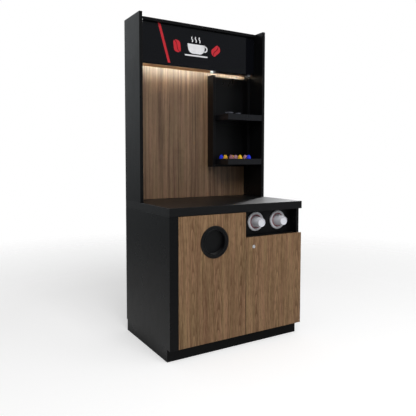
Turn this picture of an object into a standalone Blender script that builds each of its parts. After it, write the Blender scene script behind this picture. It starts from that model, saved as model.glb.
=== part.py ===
"""Free-standing coffee station: a cupboard with a counter, and a back wall with a lit header and a shelf box.

Metres, +Z up. The front faces -Y, and the origin is on the floor, in the middle of the outline.
"""

import math

import bmesh
import bpy
from mathutils import Matrix, Vector

# Overall
WIDTH = 0.985
DEPTH = 0.660  # door fronts to the back edge
COUNTER_HEIGHT = 0.900
TOTAL_HEIGHT = 2.096
FIT = 0.0003  # gap between pieces that touch
EDGE = 0.0008  # eased edge of a board

# Cupboard carcass
COUNTER_THICK = 0.049
COUNTER_EDGE = 0.0015
PLINTH_HEIGHT = 0.079
PLINTH_SETBACK = 0.047
PLINTH_INSET = 0.005
PLINTH_BOARD = 0.018
LEFT_SIDE_THICK = 0.055
RIGHT_SIDE_THICK = 0.021
RIGHT_SIDE_INSET = 0.008
PARTITION_THICK = 0.018
BOTTOM_THICK = 0.018
REAR_SHEET_THICK = 0.008
REAR_SHEET_INSET = 0.002

# Doors
DOOR_THICK = 0.019
DOOR_GAP = 0.002  # between a door and the pieces beside it
DOOR_BACK_GAP = 0.002  # between a door's back and the carcass
DOOR_SPLIT = 0.036  # place of the gap between the two doors
RIGHT_DOOR_INSET = 0.0035  # from the counter's end to the door's edge

# Concealed hinges
HINGE_FROM_END = 0.100
HINGE_CUP_RADIUS = 0.0175
HINGE_CUP_DEPTH = 0.0115
HINGE_CUP_WALL = 0.0013
HINGE_CUP_CLEARANCE = 0.0003
HINGE_LEFT_DRILLING = 0.0225  # cup centre to the door's edge
HINGE_RIGHT_DRILLING = 0.0395
HINGE_FLANGE_LENGTH = 0.060
HINGE_FLANGE_WIDTH = 0.016
HINGE_FLANGE_THICK = 0.0012
HINGE_PLATE_HEIGHT = 0.052
HINGE_PLATE_LENGTH = 0.034
HINGE_PLATE_THICK = 0.008
HINGE_PLATE_FROM_DOOR = 0.028
HINGE_ARM_WIDTH = 0.013
HINGE_ARM_THICK = 0.010
HINGE_ARM_REACH = 0.075  # door's back to the arm's rear end
HINGE_NOSE_THICK = 0.007  # the arm's end in the cup
HINGE_NOSE_OFFSET = 0.002  # past the cup's centre, so that it clears the rim as the door opens
HINGE_CRANK = 0.022  # door's back to where the arm bends

# Waste hatch
HATCH_FROM_DOOR_EDGE = 0.2435
HATCH_FROM_DOOR_TOP = 0.164
BEZEL_RADIUS = 0.098
BEZEL_BORE_RADIUS = 0.071
BEZEL_PROUD = 0.008
BEZEL_WALL = 0.0055
BEZEL_SLEEVE_BEYOND_DOOR = 0.012
BEZEL_HOLE_CLEARANCE = 0.0005
LUG_THICK = 0.006
LUG_FROM_CENTRE = 0.030
LUG_HEIGHT = 0.011
LUG_OVERHANG = 0.005  # past the pin
LUG_ROOT = 0.007
PIN_RADIUS = 0.0020
PIN_CLEARANCE = 0.0003
PIN_ABOVE_SLEEVE = 0.0095
PIN_BEHIND_SLEEVE = 0.002
PIN_STICKS_OUT = 0.001
FLAP_RADIUS = 0.074
FLAP_THICK = 0.0035
FLAP_DISH = 0.0015
FLAP_RIM = 0.006
FLAP_BARREL_RADIUS = 0.0048
FLAP_NECK_WIDTH = 0.032

# Waste bin
BIN_WIDTH = 0.300
BIN_DEPTH = 0.270
BIN_HEIGHT = 0.440
BIN_TAPER = 0.018  # each side draws in by this at the foot
BIN_CORNER = 0.035
BIN_WALL = 0.0025
BIN_LIP_WIDTH = 0.010
BIN_LIP_DROP = 0.010
BIN_FROM_DOOR = 0.030

# Cam lock
LOCK_FROM_DOOR_EDGE = 0.0585
LOCK_FROM_DOOR_TOP = 0.059
LOCK_HEAD_RADIUS = 0.011
LOCK_HEAD_PROUD = 0.003
LOCK_HEAD_ROUND = 0.001
LOCK_BODY_RADIUS = 0.0095
LOCK_BODY_BEYOND_DOOR = 0.007
LOCK_PLUG_RADIUS = 0.0060
LOCK_CLEARANCE = 0.0003
LOCK_PLUG_TAIL = 0.0012  # plug past the housing
LOCK_SLOT_LENGTH = 0.0070
LOCK_SLOT_WIDTH = 0.0014
LOCK_SLOT_DEPTH = 0.004
CAM_LENGTH = 0.055
CAM_WIDTH = 0.014
CAM_THICK = 0.002
CAM_SLOT_DEPTH = 0.008
CAM_SLOT_LIP = 0.004
CAM_SLOT_CLEARANCE = 0.003

# Niche and cup dispensers
NICHE_HEIGHT = 0.161  # right door's top to the counter
NICHE_DEPTH = 0.080
NICHE_FLOOR_THICK = 0.018
NICHE_FLOOR_DROP = 0.002  # below the door's top
NICHE_BACK_THICK = 0.018
DISPENSER_PITCH = 0.180
DISPENSER_RISE = 0.0065  # above the niche's middle
DISPENSER_STEPS = 40
FLANGE_RADIUS = 0.0625
FLANGE_DEPTH = 0.012
FLANGE_ROUND = 0.006
FLANGE_BORE_RADIUS = 0.0455
GASKET_BORE_RADIUS = 0.0412
GASKET_THICK = 0.004
GASKET_SETBACK = 0.001
TUBE_WALL = 0.003
TUBE_LENGTH = 0.420
TUBE_END_THICK = 0.003
TUBE_CLEARANCE = 0.0005
CUP_RIM_RADIUS = 0.0395
CUP_MOUTH_RADIUS = 0.0382
CUP_FOOT_RADIUS = 0.0272
CUP_HEIGHT = 0.092
CUP_WALL = 0.0010
CUP_RIM_HEIGHT = 0.0026
CUP_FOOT_RECESS = 0.006
CUP_STICKS_OUT = 0.073  # foot to the niche's back
CUP_STEPS = 36
CUP_CLEARANCE = 0.0004

# Back wall
HUTCH_DEPTH = 0.250
HUTCH_SIDE_THICK = 0.022
ROOF_SETBACK = 0.082
ROOF_THICK = 0.019
ROOF_DROP = 0.003  # below the sides' tops
FASCIA_SETBACK = 0.022  # behind the roof's front
FASCIA_THICK = 0.006
FASCIA_BOTTOM = 1.802
SOFFIT_THICK = 0.018
SOFFIT_RISE = 0.006  # above the fascia's bottom
WALL_PANEL_THICK = 0.018
WALL_PANEL_INSET = 0.008

# Lights
CHANNEL_DEPTH = 0.006
CHANNEL_HEIGHT = 0.0042
CHANNEL_WALL = 0.0006
CHANNEL_END_GAP = 0.001
DIFFUSER_SETBACK = 0.0012  # inside the channel's mouth
DIFFUSER_THICK = 0.0012
BAR_OVERHANG = 0.023  # past the shelf box's left side
BAR_FROM_SIDE = 0.022  # short of the right side
BAR_HEIGHT = 0.009
BAR_DEPTH = 0.034
BAR_SETBACK = 0.010  # behind the fascia
BAR_END_LENGTH = 0.024
BAR_END_EXTRA = 0.002  # end cap past the bar's faces
BAR_END_DROP = 0.008  # end cap below the bar
BAR_EDGE = 0.002

# Shelf box
BOX_WIDTH = 0.329
BOX_PANEL_THICK = 0.021
BOX_DEPTH = 0.076
BOX_BOTTOM = 1.121
BOX_TOP = 1.783
BOX_BACK_THICK = 0.010
SHELF_THICK = 0.042
UPPER_SHELF_TOP = 1.497
LOWER_SHELF_TOP = 1.180
SHELF_SETBACK = 0.001  # behind the sides' fronts
SHELF_EDGE = 0.0015
SHELF_END_GAP = 0.0125  # between a shelf's free end and the box's left panel

# Things on the shelves
CAPSULE_RIM_RADIUS = 0.0185
CAPSULE_BODY_RADIUS = 0.0155
CAPSULE_TOP_RADIUS = 0.0100
CAPSULE_HEIGHT = 0.028
CAPSULE_RIM_THICK = 0.0012
CAPSULE_STEPS = 24
BLUE = (0.02, 0.06, 0.65)
GOLD = (0.72, 0.42, 0.06)
MAUVE = (0.46, 0.20, 0.24)
YELLOW = (0.82, 0.52, 0.02)
PINK = (0.62, 0.30, 0.34)
CAPSULES = (
    # name, distance from the shelf's left end, distance behind its front, colour
    ("capsule_blue_left", 0.0205, 0.120, BLUE),
    ("capsule_gold", 0.0290, 0.080, GOLD),
    ("capsule_mauve", 0.0440, 0.030, MAUVE),
    ("capsule_yellow", 0.1172, 0.023, YELLOW),
    ("capsule_pink", 0.1894, 0.061, PINK),
    ("capsule_blue_right", 0.1933, 0.021, BLUE),
)
DISH_WALL = 0.0025
DISHES = (
    # name, distance from the shelf's left end, distance behind its front, rim radius, foot radius, height
    ("dish_large", 0.0335, 0.040, 0.032, 0.020, 0.012),
    ("dish_small", 0.1110, 0.040, 0.022, 0.014, 0.009),
)
DISH_STEPS = 24

# Main planes
Y_FRONT = -(DEPTH + BEZEL_PROUD) / 2 + BEZEL_PROUD
Y_BACK = Y_FRONT + DEPTH
X_LEFT = -WIDTH / 2
X_RIGHT = WIDTH / 2
COUNTER_UNDER = COUNTER_HEIGHT - COUNTER_THICK
DOOR_BACK = Y_FRONT + DOOR_THICK
CARCASS_FRONT = DOOR_BACK + DOOR_BACK_GAP
LEFT_BAY = X_LEFT + LEFT_SIDE_THICK  # inner face of the thick left side
RIGHT_SIDE_OUT = X_RIGHT - RIGHT_SIDE_INSET
RIGHT_BAY = RIGHT_SIDE_OUT - RIGHT_SIDE_THICK
REAR_SHEET_FRONT = Y_BACK - REAR_SHEET_INSET - REAR_SHEET_THICK
BOTTOM_TOP = PLINTH_HEIGHT + FIT + BOTTOM_THICK
RIGHT_DOOR_TOP = COUNTER_UNDER - NICHE_HEIGHT
PARTITION_LEFT = DOOR_SPLIT - PARTITION_THICK / 2
PARTITION_RIGHT = DOOR_SPLIT + PARTITION_THICK / 2
NICHE_FLOOR_TOP = RIGHT_DOOR_TOP - NICHE_FLOOR_DROP
NICHE_BACK_FRONT = Y_FRONT + NICHE_DEPTH
DISPENSER_X = (PARTITION_RIGHT + RIGHT_BAY) / 2
DISPENSER_Z = (NICHE_FLOOR_TOP + COUNTER_UNDER) / 2 + DISPENSER_RISE
LEFT_DOOR_EDGE = LEFT_BAY + DOOR_GAP / 2
RIGHT_DOOR_EDGE = X_RIGHT - RIGHT_DOOR_INSET
LEFT_DOOR_TOP = COUNTER_UNDER - DOOR_GAP
HATCH_X = LEFT_DOOR_EDGE + HATCH_FROM_DOOR_EDGE
HATCH_Z = LEFT_DOOR_TOP - HATCH_FROM_DOOR_TOP
HUTCH_FRONT = Y_BACK - HUTCH_DEPTH
HUTCH_LEFT = X_LEFT + HUTCH_SIDE_THICK
HUTCH_RIGHT = X_RIGHT - HUTCH_SIDE_THICK
ROOF_FRONT = HUTCH_FRONT + ROOF_SETBACK
ROOF_TOP = TOTAL_HEIGHT - ROOF_DROP
ROOF_UNDER = ROOF_TOP - ROOF_THICK
FASCIA_FRONT = ROOF_FRONT + FASCIA_SETBACK
FASCIA_REAR = FASCIA_FRONT + FASCIA_THICK
SOFFIT_UNDER = FASCIA_BOTTOM + SOFFIT_RISE
WALL_PANEL_FRONT = Y_BACK - WALL_PANEL_INSET - WALL_PANEL_THICK
SOFFIT_REAR = WALL_PANEL_FRONT - FIT
SLEEVE_REAR = DOOR_BACK + BEZEL_SLEEVE_BEYOND_DOOR
SLEEVE_RADIUS = BEZEL_BORE_RADIUS + BEZEL_WALL
PIN_Y = SLEEVE_REAR + PIN_BEHIND_SLEEVE
PIN_Z = HATCH_Z + SLEEVE_RADIUS + PIN_ABOVE_SLEEVE
LOCK_X = DOOR_SPLIT + DOOR_GAP / 2 + LOCK_FROM_DOOR_EDGE
LOCK_Z = RIGHT_DOOR_TOP - LOCK_FROM_DOOR_TOP
TUBE_BORE_RADIUS = CUP_RIM_RADIUS + CUP_CLEARANCE
TUBE_RADIUS = TUBE_BORE_RADIUS + TUBE_WALL
BOX_RIGHT = HUTCH_RIGHT - FIT
BOX_LEFT = BOX_RIGHT - BOX_WIDTH
BOX_INNER_LEFT = BOX_LEFT + BOX_PANEL_THICK + FIT
SHELF_LEFT = BOX_INNER_LEFT + SHELF_END_GAP
BOX_FRONT = WALL_PANEL_FRONT - BOX_DEPTH

# Local +Z of a turned piece points out of the front
FACING_FRONT = Matrix.Rotation(math.radians(90), 4, "X")


def clear_scene():
    for obj in list(bpy.data.objects):
        bpy.data.objects.remove(obj)


def new_collection(name):
    collection = bpy.data.collections.new(name)
    bpy.context.scene.collection.children.link(collection)
    return collection


def finish(name, colour, roughness, metallic=0.0):
    """A Principled material in one colour."""
    material = bpy.data.materials.new(name)
    material.use_nodes = True
    shader = material.node_tree.nodes["Principled BSDF"]
    shader.inputs["Base Color"].default_value = (*colour, 1.0)
    shader.inputs["Roughness"].default_value = roughness
    shader.inputs["Metallic"].default_value = metallic
    return material


clear_scene()
PARTS = new_collection("coffee_station")
CUTTERS = new_collection("coffee_station_cutters")

BLACK = finish("black_laminate", (0.012, 0.012, 0.013), 0.45)
SIGN = finish("sign_black", (0.010, 0.010, 0.013), 0.25)
WALNUT = finish("walnut", (0.19, 0.11, 0.06), 0.50)
STEEL = finish("hinge_steel", (0.55, 0.55, 0.56), 0.30, 1.0)
NICKEL = finish("lock_nickel", (0.60, 0.60, 0.60), 0.25, 1.0)
ALUMINIUM = finish("channel_aluminium", (0.60, 0.60, 0.62), 0.40, 1.0)
DIFFUSER = finish("diffuser_opal", (0.95, 0.85, 0.70), 0.40)
PLASTIC = finish("black_plastic", (0.010, 0.010, 0.011), 0.35)
PALE_PLASTIC = finish("pale_plastic", (0.45, 0.45, 0.48), 0.35)
WHITE_PLASTIC = finish("white_plastic", (0.75, 0.75, 0.78), 0.40)
RED_RUBBER = finish("red_rubber", (0.35, 0.06, 0.06), 0.55)
PAPER = finish("cup_paper", (0.85, 0.85, 0.88), 0.60)
BIN_GREY = finish("bin_grey", (0.10, 0.10, 0.11), 0.50)
STONEWARE = finish("dish_stoneware", (0.60, 0.60, 0.62), 0.30)


def joint_axis(name, place, parent=None):
    """An empty on a joint's axis, which its moving pieces hang from."""
    empty = bpy.data.objects.new(name, None)
    empty.empty_display_size = 0.05
    PARTS.objects.link(empty)
    set_place(empty, place, parent)
    return empty


def set_place(obj, place, parent=None):
    obj.parent = parent
    origin = world_place(parent)
    obj.location = Vector(place) - origin


def world_place(obj):
    """Where an unturned empty stands, through its parents."""
    place = Vector((0, 0, 0))
    while obj:
        place += obj.location
        obj = obj.parent
    return place


STATION = joint_axis("station", (0, 0, 0))
LEFT_DOOR = joint_axis("left_door_axis", (LEFT_DOOR_EDGE, Y_FRONT, PLINTH_HEIGHT), STATION)
RIGHT_DOOR = joint_axis("right_door_axis", (RIGHT_DOOR_EDGE, Y_FRONT, PLINTH_HEIGHT), STATION)
FLAP = joint_axis("flap_axis", (HATCH_X, PIN_Y, PIN_Z), LEFT_DOOR)
LOCK = joint_axis("lock_axis", (LOCK_X, Y_FRONT, LOCK_Z), RIGHT_DOOR)


def link(obj, material, collection=PARTS):
    collection.objects.link(obj)
    obj.data.materials.append(material)
    if collection is CUTTERS:
        obj.hide_render = True
        obj.display_type = "WIRE"
    return obj


def object_from(mesh_builder, name, material, collection=PARTS):
    """An object whose mesh a function fills in."""
    mesh = bpy.data.meshes.new(name)
    bm = bmesh.new()
    mesh_builder(bm)
    bm.to_mesh(mesh)
    bm.free()
    return link(bpy.data.objects.new(name, mesh), material, collection)


def bevel(obj, width, segments=1):
    modifier = obj.modifiers.new("eased_edges", "BEVEL")
    modifier.width = width
    modifier.segments = segments
    modifier.limit_method = "ANGLE"
    return obj


def board(name, low, high, material, parent=STATION, edge=EDGE, collection=PARTS):
    """A rectangular board between two corners, with eased edges."""
    low = Vector(low)
    high = Vector(high)
    size = high - low

    def build(bm):
        bmesh.ops.create_cube(bm, size=1.0, matrix=Matrix.Diagonal((*size, 1.0)))

    obj = object_from(build, name, material, collection)
    set_place(obj, (low + high) / 2, parent)
    if edge:
        bevel(obj, edge)
    return obj


def turned(name, profile, place, material, steps, parent=STATION, turn=FACING_FRONT, collection=PARTS):
    """A solid of revolution about local Z. The profile runs down the outer side; its ends close on the axis."""
    mesh = bpy.data.meshes.new(name)
    bm = bmesh.new()
    points = [bm.verts.new((radius, 0, height)) for radius, height in profile]
    on_axis = profile[0][0] == 0 and profile[-1][0] == 0
    for first, second in zip(points, points[1:]):
        bm.edges.new((first, second))
    if not on_axis:
        bm.edges.new((points[-1], points[0]))
    bm.to_mesh(mesh)
    bm.free()
    obj = link(bpy.data.objects.new(name, mesh), material, collection)
    screw = obj.modifiers.new("turn", "SCREW")
    screw.steps = steps
    screw.render_steps = steps
    screw.use_merge_vertices = True
    screw.merge_threshold = 0.00001
    screw.use_smooth_shade = True
    set_place(obj, place, parent)
    obj.rotation_euler = turn.to_euler()
    return obj


def plate(name, outline, thickness, place, material, parent=STATION, turn=Matrix(), collection=PARTS):
    """A flat outline in local XY, thickened evenly both ways, as a closed mesh."""
    curve = bpy.data.curves.new(name, "CURVE")
    curve.dimensions = "2D"
    curve.fill_mode = "BOTH"
    curve.extrude = thickness / 2
    spline = curve.splines.new("POLY")
    spline.points.add(len(outline) - 1)
    for point, (x, y) in zip(spline.points, outline):
        point.co = (x, y, 0, 1)
    spline.use_cyclic_u = True
    source = bpy.data.objects.new(name + "_outline", curve)
    bpy.context.scene.collection.objects.link(source)
    graph = bpy.context.evaluated_depsgraph_get()
    mesh = bpy.data.meshes.new_from_object(source.evaluated_get(graph))
    bpy.data.objects.remove(source)
    bm = bmesh.new()
    bm.from_mesh(mesh)
    bmesh.ops.remove_doubles(bm, verts=bm.verts, dist=0.00001)
    bm.to_mesh(mesh)
    bm.free()
    mesh.name = name
    obj = link(bpy.data.objects.new(name, mesh), material, collection)
    set_place(obj, place, parent)
    obj.rotation_euler = turn.to_euler()
    return obj


def combine(obj, other, operation):
    modifier = obj.modifiers.new(operation.lower() + "_" + other.name, "BOOLEAN")
    modifier.operation = operation
    modifier.solver = "EXACT"
    modifier.object = other
    return obj


def cut(obj, cutter):
    return combine(obj, cutter, "DIFFERENCE")


def join(obj, other):
    return combine(obj, other, "UNION")


def cut_box(obj, name, low, high):
    return cut(obj, board(name, low, high, BLACK, edge=0, collection=CUTTERS))


def cut_round(obj, name, radius, low, high, place, steps=DISPENSER_STEPS, turn=FACING_FRONT):
    """Takes out a round hole between two heights along the turned axis."""
    profile = ((0, high), (radius, high), (radius, low), (0, low))
    return cut(obj, turned(name, profile, place, BLACK, steps, None, turn, CUTTERS))


def arc(centre, radius_x, radius_y, start, end, count):
    """Points on an elliptical arc, both ends included."""
    points = []
    for i in range(count + 1):
        angle = math.radians(start + (end - start) * i / count)
        points.append((centre[0] + radius_x * math.cos(angle), centre[1] + radius_y * math.sin(angle)))
    return points


def stadium(length, width, count=6):
    """A slot outline with round ends, long in Y."""
    radius = width / 2
    reach = length / 2 - radius
    return arc((0, reach), radius, radius, 0, 180, count) + arc((0, -reach), radius, radius, 180, 360, count)


def build_plinth():
    front = Y_FRONT + PLINTH_SETBACK
    left = X_LEFT + PLINTH_INSET
    board("plinth_front", (left, front, 0), (RIGHT_SIDE_OUT, front + PLINTH_BOARD, PLINTH_HEIGHT), BLACK)
    behind = front + PLINTH_BOARD + FIT
    for name, x in (("plinth_left", left), ("plinth_right", RIGHT_SIDE_OUT - PLINTH_BOARD)):
        board(name, (x, behind, 0), (x + PLINTH_BOARD, Y_BACK, PLINTH_HEIGHT), BLACK)


def build_carcass():
    floor = PLINTH_HEIGHT + FIT
    under = COUNTER_UNDER - FIT
    rear = REAR_SHEET_FRONT - FIT
    board(
        "countertop",
        (X_LEFT, Y_FRONT, COUNTER_UNDER),
        (X_RIGHT, Y_BACK, COUNTER_HEIGHT),
        BLACK,
        edge=COUNTER_EDGE,
    )
    board("base_side_left", (X_LEFT, Y_FRONT, floor), (LEFT_BAY, Y_BACK, under), BLACK)
    board("base_side_right", (RIGHT_BAY, CARCASS_FRONT, floor), (RIGHT_SIDE_OUT, Y_BACK, under), BLACK)
    board(
        "base_bottom",
        (LEFT_BAY + FIT, CARCASS_FRONT, floor),
        (RIGHT_BAY - FIT, rear, BOTTOM_TOP),
        BLACK,
    )
    board(
        "base_rear_sheet",
        (LEFT_BAY + FIT, REAR_SHEET_FRONT, floor),
        (RIGHT_BAY - FIT, REAR_SHEET_FRONT + REAR_SHEET_THICK, under),
        BLACK,
    )
    partition = board(
        "base_partition",
        (PARTITION_LEFT, CARCASS_FRONT, BOTTOM_TOP + FIT),
        (PARTITION_RIGHT, rear, under),
        BLACK,
    )
    cam_front = DOOR_BACK + LOCK_BODY_BEYOND_DOOR
    cut_box(
        partition,
        "cam_slot",
        (
            PARTITION_RIGHT - CAM_SLOT_DEPTH,
            CARCASS_FRONT + CAM_SLOT_LIP,
            LOCK_Z - CAM_LENGTH / 2 - CAM_WIDTH / 2,
        ),
        (
            PARTITION_RIGHT + CAM_SLOT_DEPTH,
            cam_front + LOCK_PLUG_TAIL + CAM_THICK + CAM_SLOT_CLEARANCE,
            LOCK_Z + CAM_WIDTH / 2 + CAM_SLOT_CLEARANCE,
        ),
    )
    board(
        "niche_floor",
        (PARTITION_RIGHT + FIT, CARCASS_FRONT, NICHE_FLOOR_TOP - NICHE_FLOOR_THICK),
        (RIGHT_BAY - FIT, rear, NICHE_FLOOR_TOP),
        BLACK,
    )


def build_doors():
    bottom = PLINTH_HEIGHT + FIT
    left = board(
        "door_left",
        (LEFT_DOOR_EDGE, Y_FRONT, bottom),
        (DOOR_SPLIT - DOOR_GAP / 2, DOOR_BACK, LEFT_DOOR_TOP),
        WALNUT,
        LEFT_DOOR,
    )
    hole = SLEEVE_RADIUS + BEZEL_HOLE_CLEARANCE
    cut_round(left, "hatch_hole", hole, -2 * DOOR_THICK, DOOR_THICK, (HATCH_X, Y_FRONT, HATCH_Z), 48)
    right = board(
        "door_right",
        (DOOR_SPLIT + DOOR_GAP / 2, Y_FRONT, bottom),
        (RIGHT_DOOR_EDGE, DOOR_BACK, RIGHT_DOOR_TOP),
        WALNUT,
        RIGHT_DOOR,
    )
    hole = LOCK_BODY_RADIUS + LOCK_CLEARANCE
    cut_round(right, "lock_hole", hole, -2 * DOOR_THICK, DOOR_THICK, (LOCK_X, Y_FRONT, LOCK_Z), 24)
    hinges = (
        (left, LEFT_DOOR, "left", LEFT_BAY, LEFT_DOOR_EDGE + HINGE_LEFT_DRILLING, 1, LEFT_DOOR_TOP),
        (right, RIGHT_DOOR, "right", RIGHT_BAY, RIGHT_DOOR_EDGE - HINGE_RIGHT_DRILLING, -1, RIGHT_DOOR_TOP),
    )
    for door, axis, side, bay, cup_x, inwards, top in hinges:
        for level, z in (("bottom", bottom + HINGE_FROM_END), ("top", top - HINGE_FROM_END)):
            build_hinge(door, axis, side + "_" + level, bay, cup_x, inwards, z)


def build_hinge(door, axis, name, bay, cup_x, inwards, z):
    """A concealed hinge: a cup let into the door, and an arm on the side panel that reaches into it."""
    place = (cup_x, DOOR_BACK, z)
    bore = HINGE_CUP_RADIUS + HINGE_CUP_CLEARANCE
    depth = HINGE_CUP_DEPTH + FIT
    cut_round(door, "hinge_bore_" + name, bore, -DOOR_THICK, depth, place, 32)
    inner = HINGE_CUP_RADIUS - HINGE_CUP_WALL
    floor = HINGE_CUP_DEPTH - HINGE_CUP_WALL
    lip = -FIT - HINGE_FLANGE_THICK
    profile = (
        (0, HINGE_CUP_DEPTH),
        (HINGE_CUP_RADIUS, HINGE_CUP_DEPTH),
        (HINGE_CUP_RADIUS, lip),
        (inner, lip),
        (inner, floor),
        (0, floor),
    )
    cup = turned("hinge_cup_" + name, profile, place, STEEL, 32, axis)
    flange = plate(
        "hinge_flange_" + name,
        stadium(HINGE_FLANGE_LENGTH, HINGE_FLANGE_WIDTH),
        HINGE_FLANGE_THICK,
        (cup_x, DOOR_BACK + FIT + HINGE_FLANGE_THICK / 2, z),
        STEEL,
        None,
        FACING_FRONT,
        CUTTERS,
    )
    mouth = (HINGE_CUP_RADIUS + inner) / 2
    cut_round(flange, "hinge_mouth_" + name, mouth, -DOOR_THICK, DOOR_THICK, place, 32)
    join(cup, flange)
    reach = abs(cup_x - bay) + HINGE_NOSE_OFFSET
    rear = HINGE_PLATE_THICK + HINGE_ARM_THICK
    nose = floor - FIT
    half_nose = HINGE_NOSE_THICK / 2
    outline = (
        (HINGE_PLATE_THICK, HINGE_ARM_REACH),
        (rear, HINGE_ARM_REACH),
        (rear, HINGE_CRANK),
        (reach + half_nose, HINGE_ARM_THICK),
        (reach + half_nose, -nose),
        (reach - half_nose, -nose),
        (reach - half_nose, HINGE_ARM_THICK),
        (HINGE_PLATE_THICK, HINGE_CRANK),
    )
    outline = [(inwards * across, deep) for across, deep in outline]
    arm = plate("hinge_arm_" + name, outline, HINGE_ARM_WIDTH, (bay, DOOR_BACK, z), STEEL)
    seat = bay + inwards * FIT
    face = bay + inwards * (HINGE_PLATE_THICK + EDGE)
    front = DOOR_BACK + HINGE_PLATE_FROM_DOOR
    wing = board(
        "hinge_wing_" + name,
        (min(seat, face), front, z - HINGE_PLATE_HEIGHT / 2),
        (max(seat, face), front + HINGE_PLATE_LENGTH, z + HINGE_PLATE_HEIGHT / 2),
        STEEL,
        None,
        0,
        CUTTERS,
    )
    join(arm, wing)


def build_waste_hatch():
    place = (HATCH_X, Y_FRONT, HATCH_Z)
    middle = (BEZEL_RADIUS + BEZEL_BORE_RADIUS) / 2
    half = (BEZEL_RADIUS - BEZEL_BORE_RADIUS) / 2
    sleeve_end = Y_FRONT - SLEEVE_REAR
    profile = arc((middle, FIT), half, BEZEL_PROUD - FIT, 180, 0, 8) + [
        (SLEEVE_RADIUS, FIT),
        (SLEEVE_RADIUS, sleeve_end),
        (BEZEL_BORE_RADIUS, sleeve_end),
    ]
    bezel = turned("waste_bezel", profile, place, PLASTIC, 48, LEFT_DOOR)
    low = PIN_Z - LUG_HEIGHT / 2
    high = PIN_Z + LUG_HEIGHT / 2
    root_z = HATCH_Z + math.sqrt(SLEEVE_RADIUS**2 - LUG_FROM_CENTRE**2) - BEZEL_WALL / 4
    root_front = SLEEVE_REAR - LUG_ROOT
    for side, sign in (("left", -1), ("right", 1)):
        near = HATCH_X + sign * LUG_FROM_CENTRE
        far = near + sign * LUG_THICK
        ends = (min(near, far), max(near, far))
        foot = board(
            "lug_foot_" + side,
            (ends[0], root_front, root_z),
            (ends[1], SLEEVE_REAR - EDGE, low + EDGE),
            PLASTIC,
            None,
            0,
            CUTTERS,
        )
        head = board(
            "lug_head_" + side,
            (ends[0], root_front, low),
            (ends[1], PIN_Y + LUG_OVERHANG, high),
            PLASTIC,
            None,
            0,
            CUTTERS,
        )
        join(bezel, foot)
        join(bezel, head)
    along_x = Matrix.Rotation(math.radians(90), 4, "Y")
    hinge_place = (HATCH_X, PIN_Y, PIN_Z)
    reach = LUG_FROM_CENTRE + LUG_THICK
    cut_round(bezel, "lug_bore", PIN_RADIUS + PIN_CLEARANCE, -2 * reach, 2 * reach, hinge_place, 16, along_x)
    end = reach + PIN_STICKS_OUT
    turned(
        "waste_flap_pin",
        ((0, end), (PIN_RADIUS, end), (PIN_RADIUS, -end), (0, -end)),
        hinge_place,
        STEEL,
        16,
        LEFT_DOOR,
        along_x,
    )
    build_flap(hinge_place, along_x)


def build_flap(hinge_place, along_x):
    """A round flap that hangs behind the sleeve and swings inwards."""
    front = -FIT
    rear = front - FLAP_THICK
    dish = FLAP_RADIUS - FLAP_RIM
    profile = (
        (0, front - FLAP_DISH),
        (dish - FLAP_RIM, front - FLAP_DISH),
        (dish, front),
        (FLAP_RADIUS, front),
        (FLAP_RADIUS, rear),
        (dish, rear),
        (dish - FLAP_RIM, rear - FLAP_DISH),
        (0, rear - FLAP_DISH),
    )
    flap = turned("waste_flap", profile, (HATCH_X, SLEEVE_REAR, HATCH_Z), PLASTIC, 40, FLAP)
    half = FLAP_NECK_WIDTH / 2
    neck = board(
        "flap_neck",
        (HATCH_X - half, SLEEVE_REAR + FIT + EDGE, HATCH_Z + FLAP_RADIUS - FLAP_RIM),
        (HATCH_X + half, SLEEVE_REAR + FIT + FLAP_THICK - EDGE, PIN_Z),
        PLASTIC,
        None,
        0,
        CUTTERS,
    )
    join(flap, neck)
    end = LUG_FROM_CENTRE - FIT
    radius = FLAP_BARREL_RADIUS
    barrel = turned(
        "flap_barrel",
        ((0, end), (radius, end), (radius, -end), (0, -end)),
        hinge_place,
        PLASTIC,
        20,
        None,
        along_x,
        CUTTERS,
    )
    join(flap, barrel)
    cut_round(flap, "flap_bore", PIN_RADIUS + PIN_CLEARANCE, -2 * end, 2 * end, hinge_place, 16, along_x)


def build_bin():
    """An open tapered bin with round corners and a turned-over lip."""

    def build(bm):
        size = Matrix.Diagonal((BIN_WIDTH, BIN_DEPTH, BIN_HEIGHT, 1.0))
        bmesh.ops.create_cube(bm, size=1.0, matrix=size)
        foot = [v for v in bm.verts if v.co.z < 0]
        narrow = Matrix.Diagonal((1 - 2 * BIN_TAPER / BIN_WIDTH, 1 - 2 * BIN_TAPER / BIN_DEPTH, 1.0, 1.0))
        bmesh.ops.transform(bm, matrix=narrow, verts=foot)
        corners = [e for e in bm.edges if abs(e.verts[0].co.z - e.verts[1].co.z) > BIN_HEIGHT / 2]
        bmesh.ops.bevel(bm, geom=corners, offset=BIN_CORNER, segments=4, profile=0.5, affect="EDGES")
        bmesh.ops.delete(bm, geom=[f for f in bm.faces if f.normal.z > 0.9], context="FACES_ONLY")
        for step in (Vector((BIN_LIP_WIDTH, BIN_LIP_WIDTH, 0)), Vector((0, 0, -BIN_LIP_DROP))):
            rim = [e for e in bm.edges if e.is_boundary]
            made = bmesh.ops.extrude_edge_only(bm, edges=rim)
            grown = [item for item in made["geom"] if isinstance(item, bmesh.types.BMVert)]
            for vert in grown:
                vert.co.x += math.copysign(step.x, vert.co.x)
                vert.co.y += math.copysign(step.y, vert.co.y)
                vert.co.z += step.z
        bmesh.ops.recalc_face_normals(bm, faces=bm.faces)

    bin_body = object_from(build, "waste_bin", BIN_GREY)
    wall = bin_body.modifiers.new("wall", "SOLIDIFY")
    wall.thickness = BIN_WALL
    wall.offset = 1.0
    wall.use_even_offset = True
    front = DOOR_BACK + BIN_FROM_DOOR
    height = BOTTOM_TOP + FIT + BIN_HEIGHT / 2
    set_place(bin_body, (HATCH_X, front + BIN_LIP_WIDTH + BIN_DEPTH / 2, height), STATION)


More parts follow.
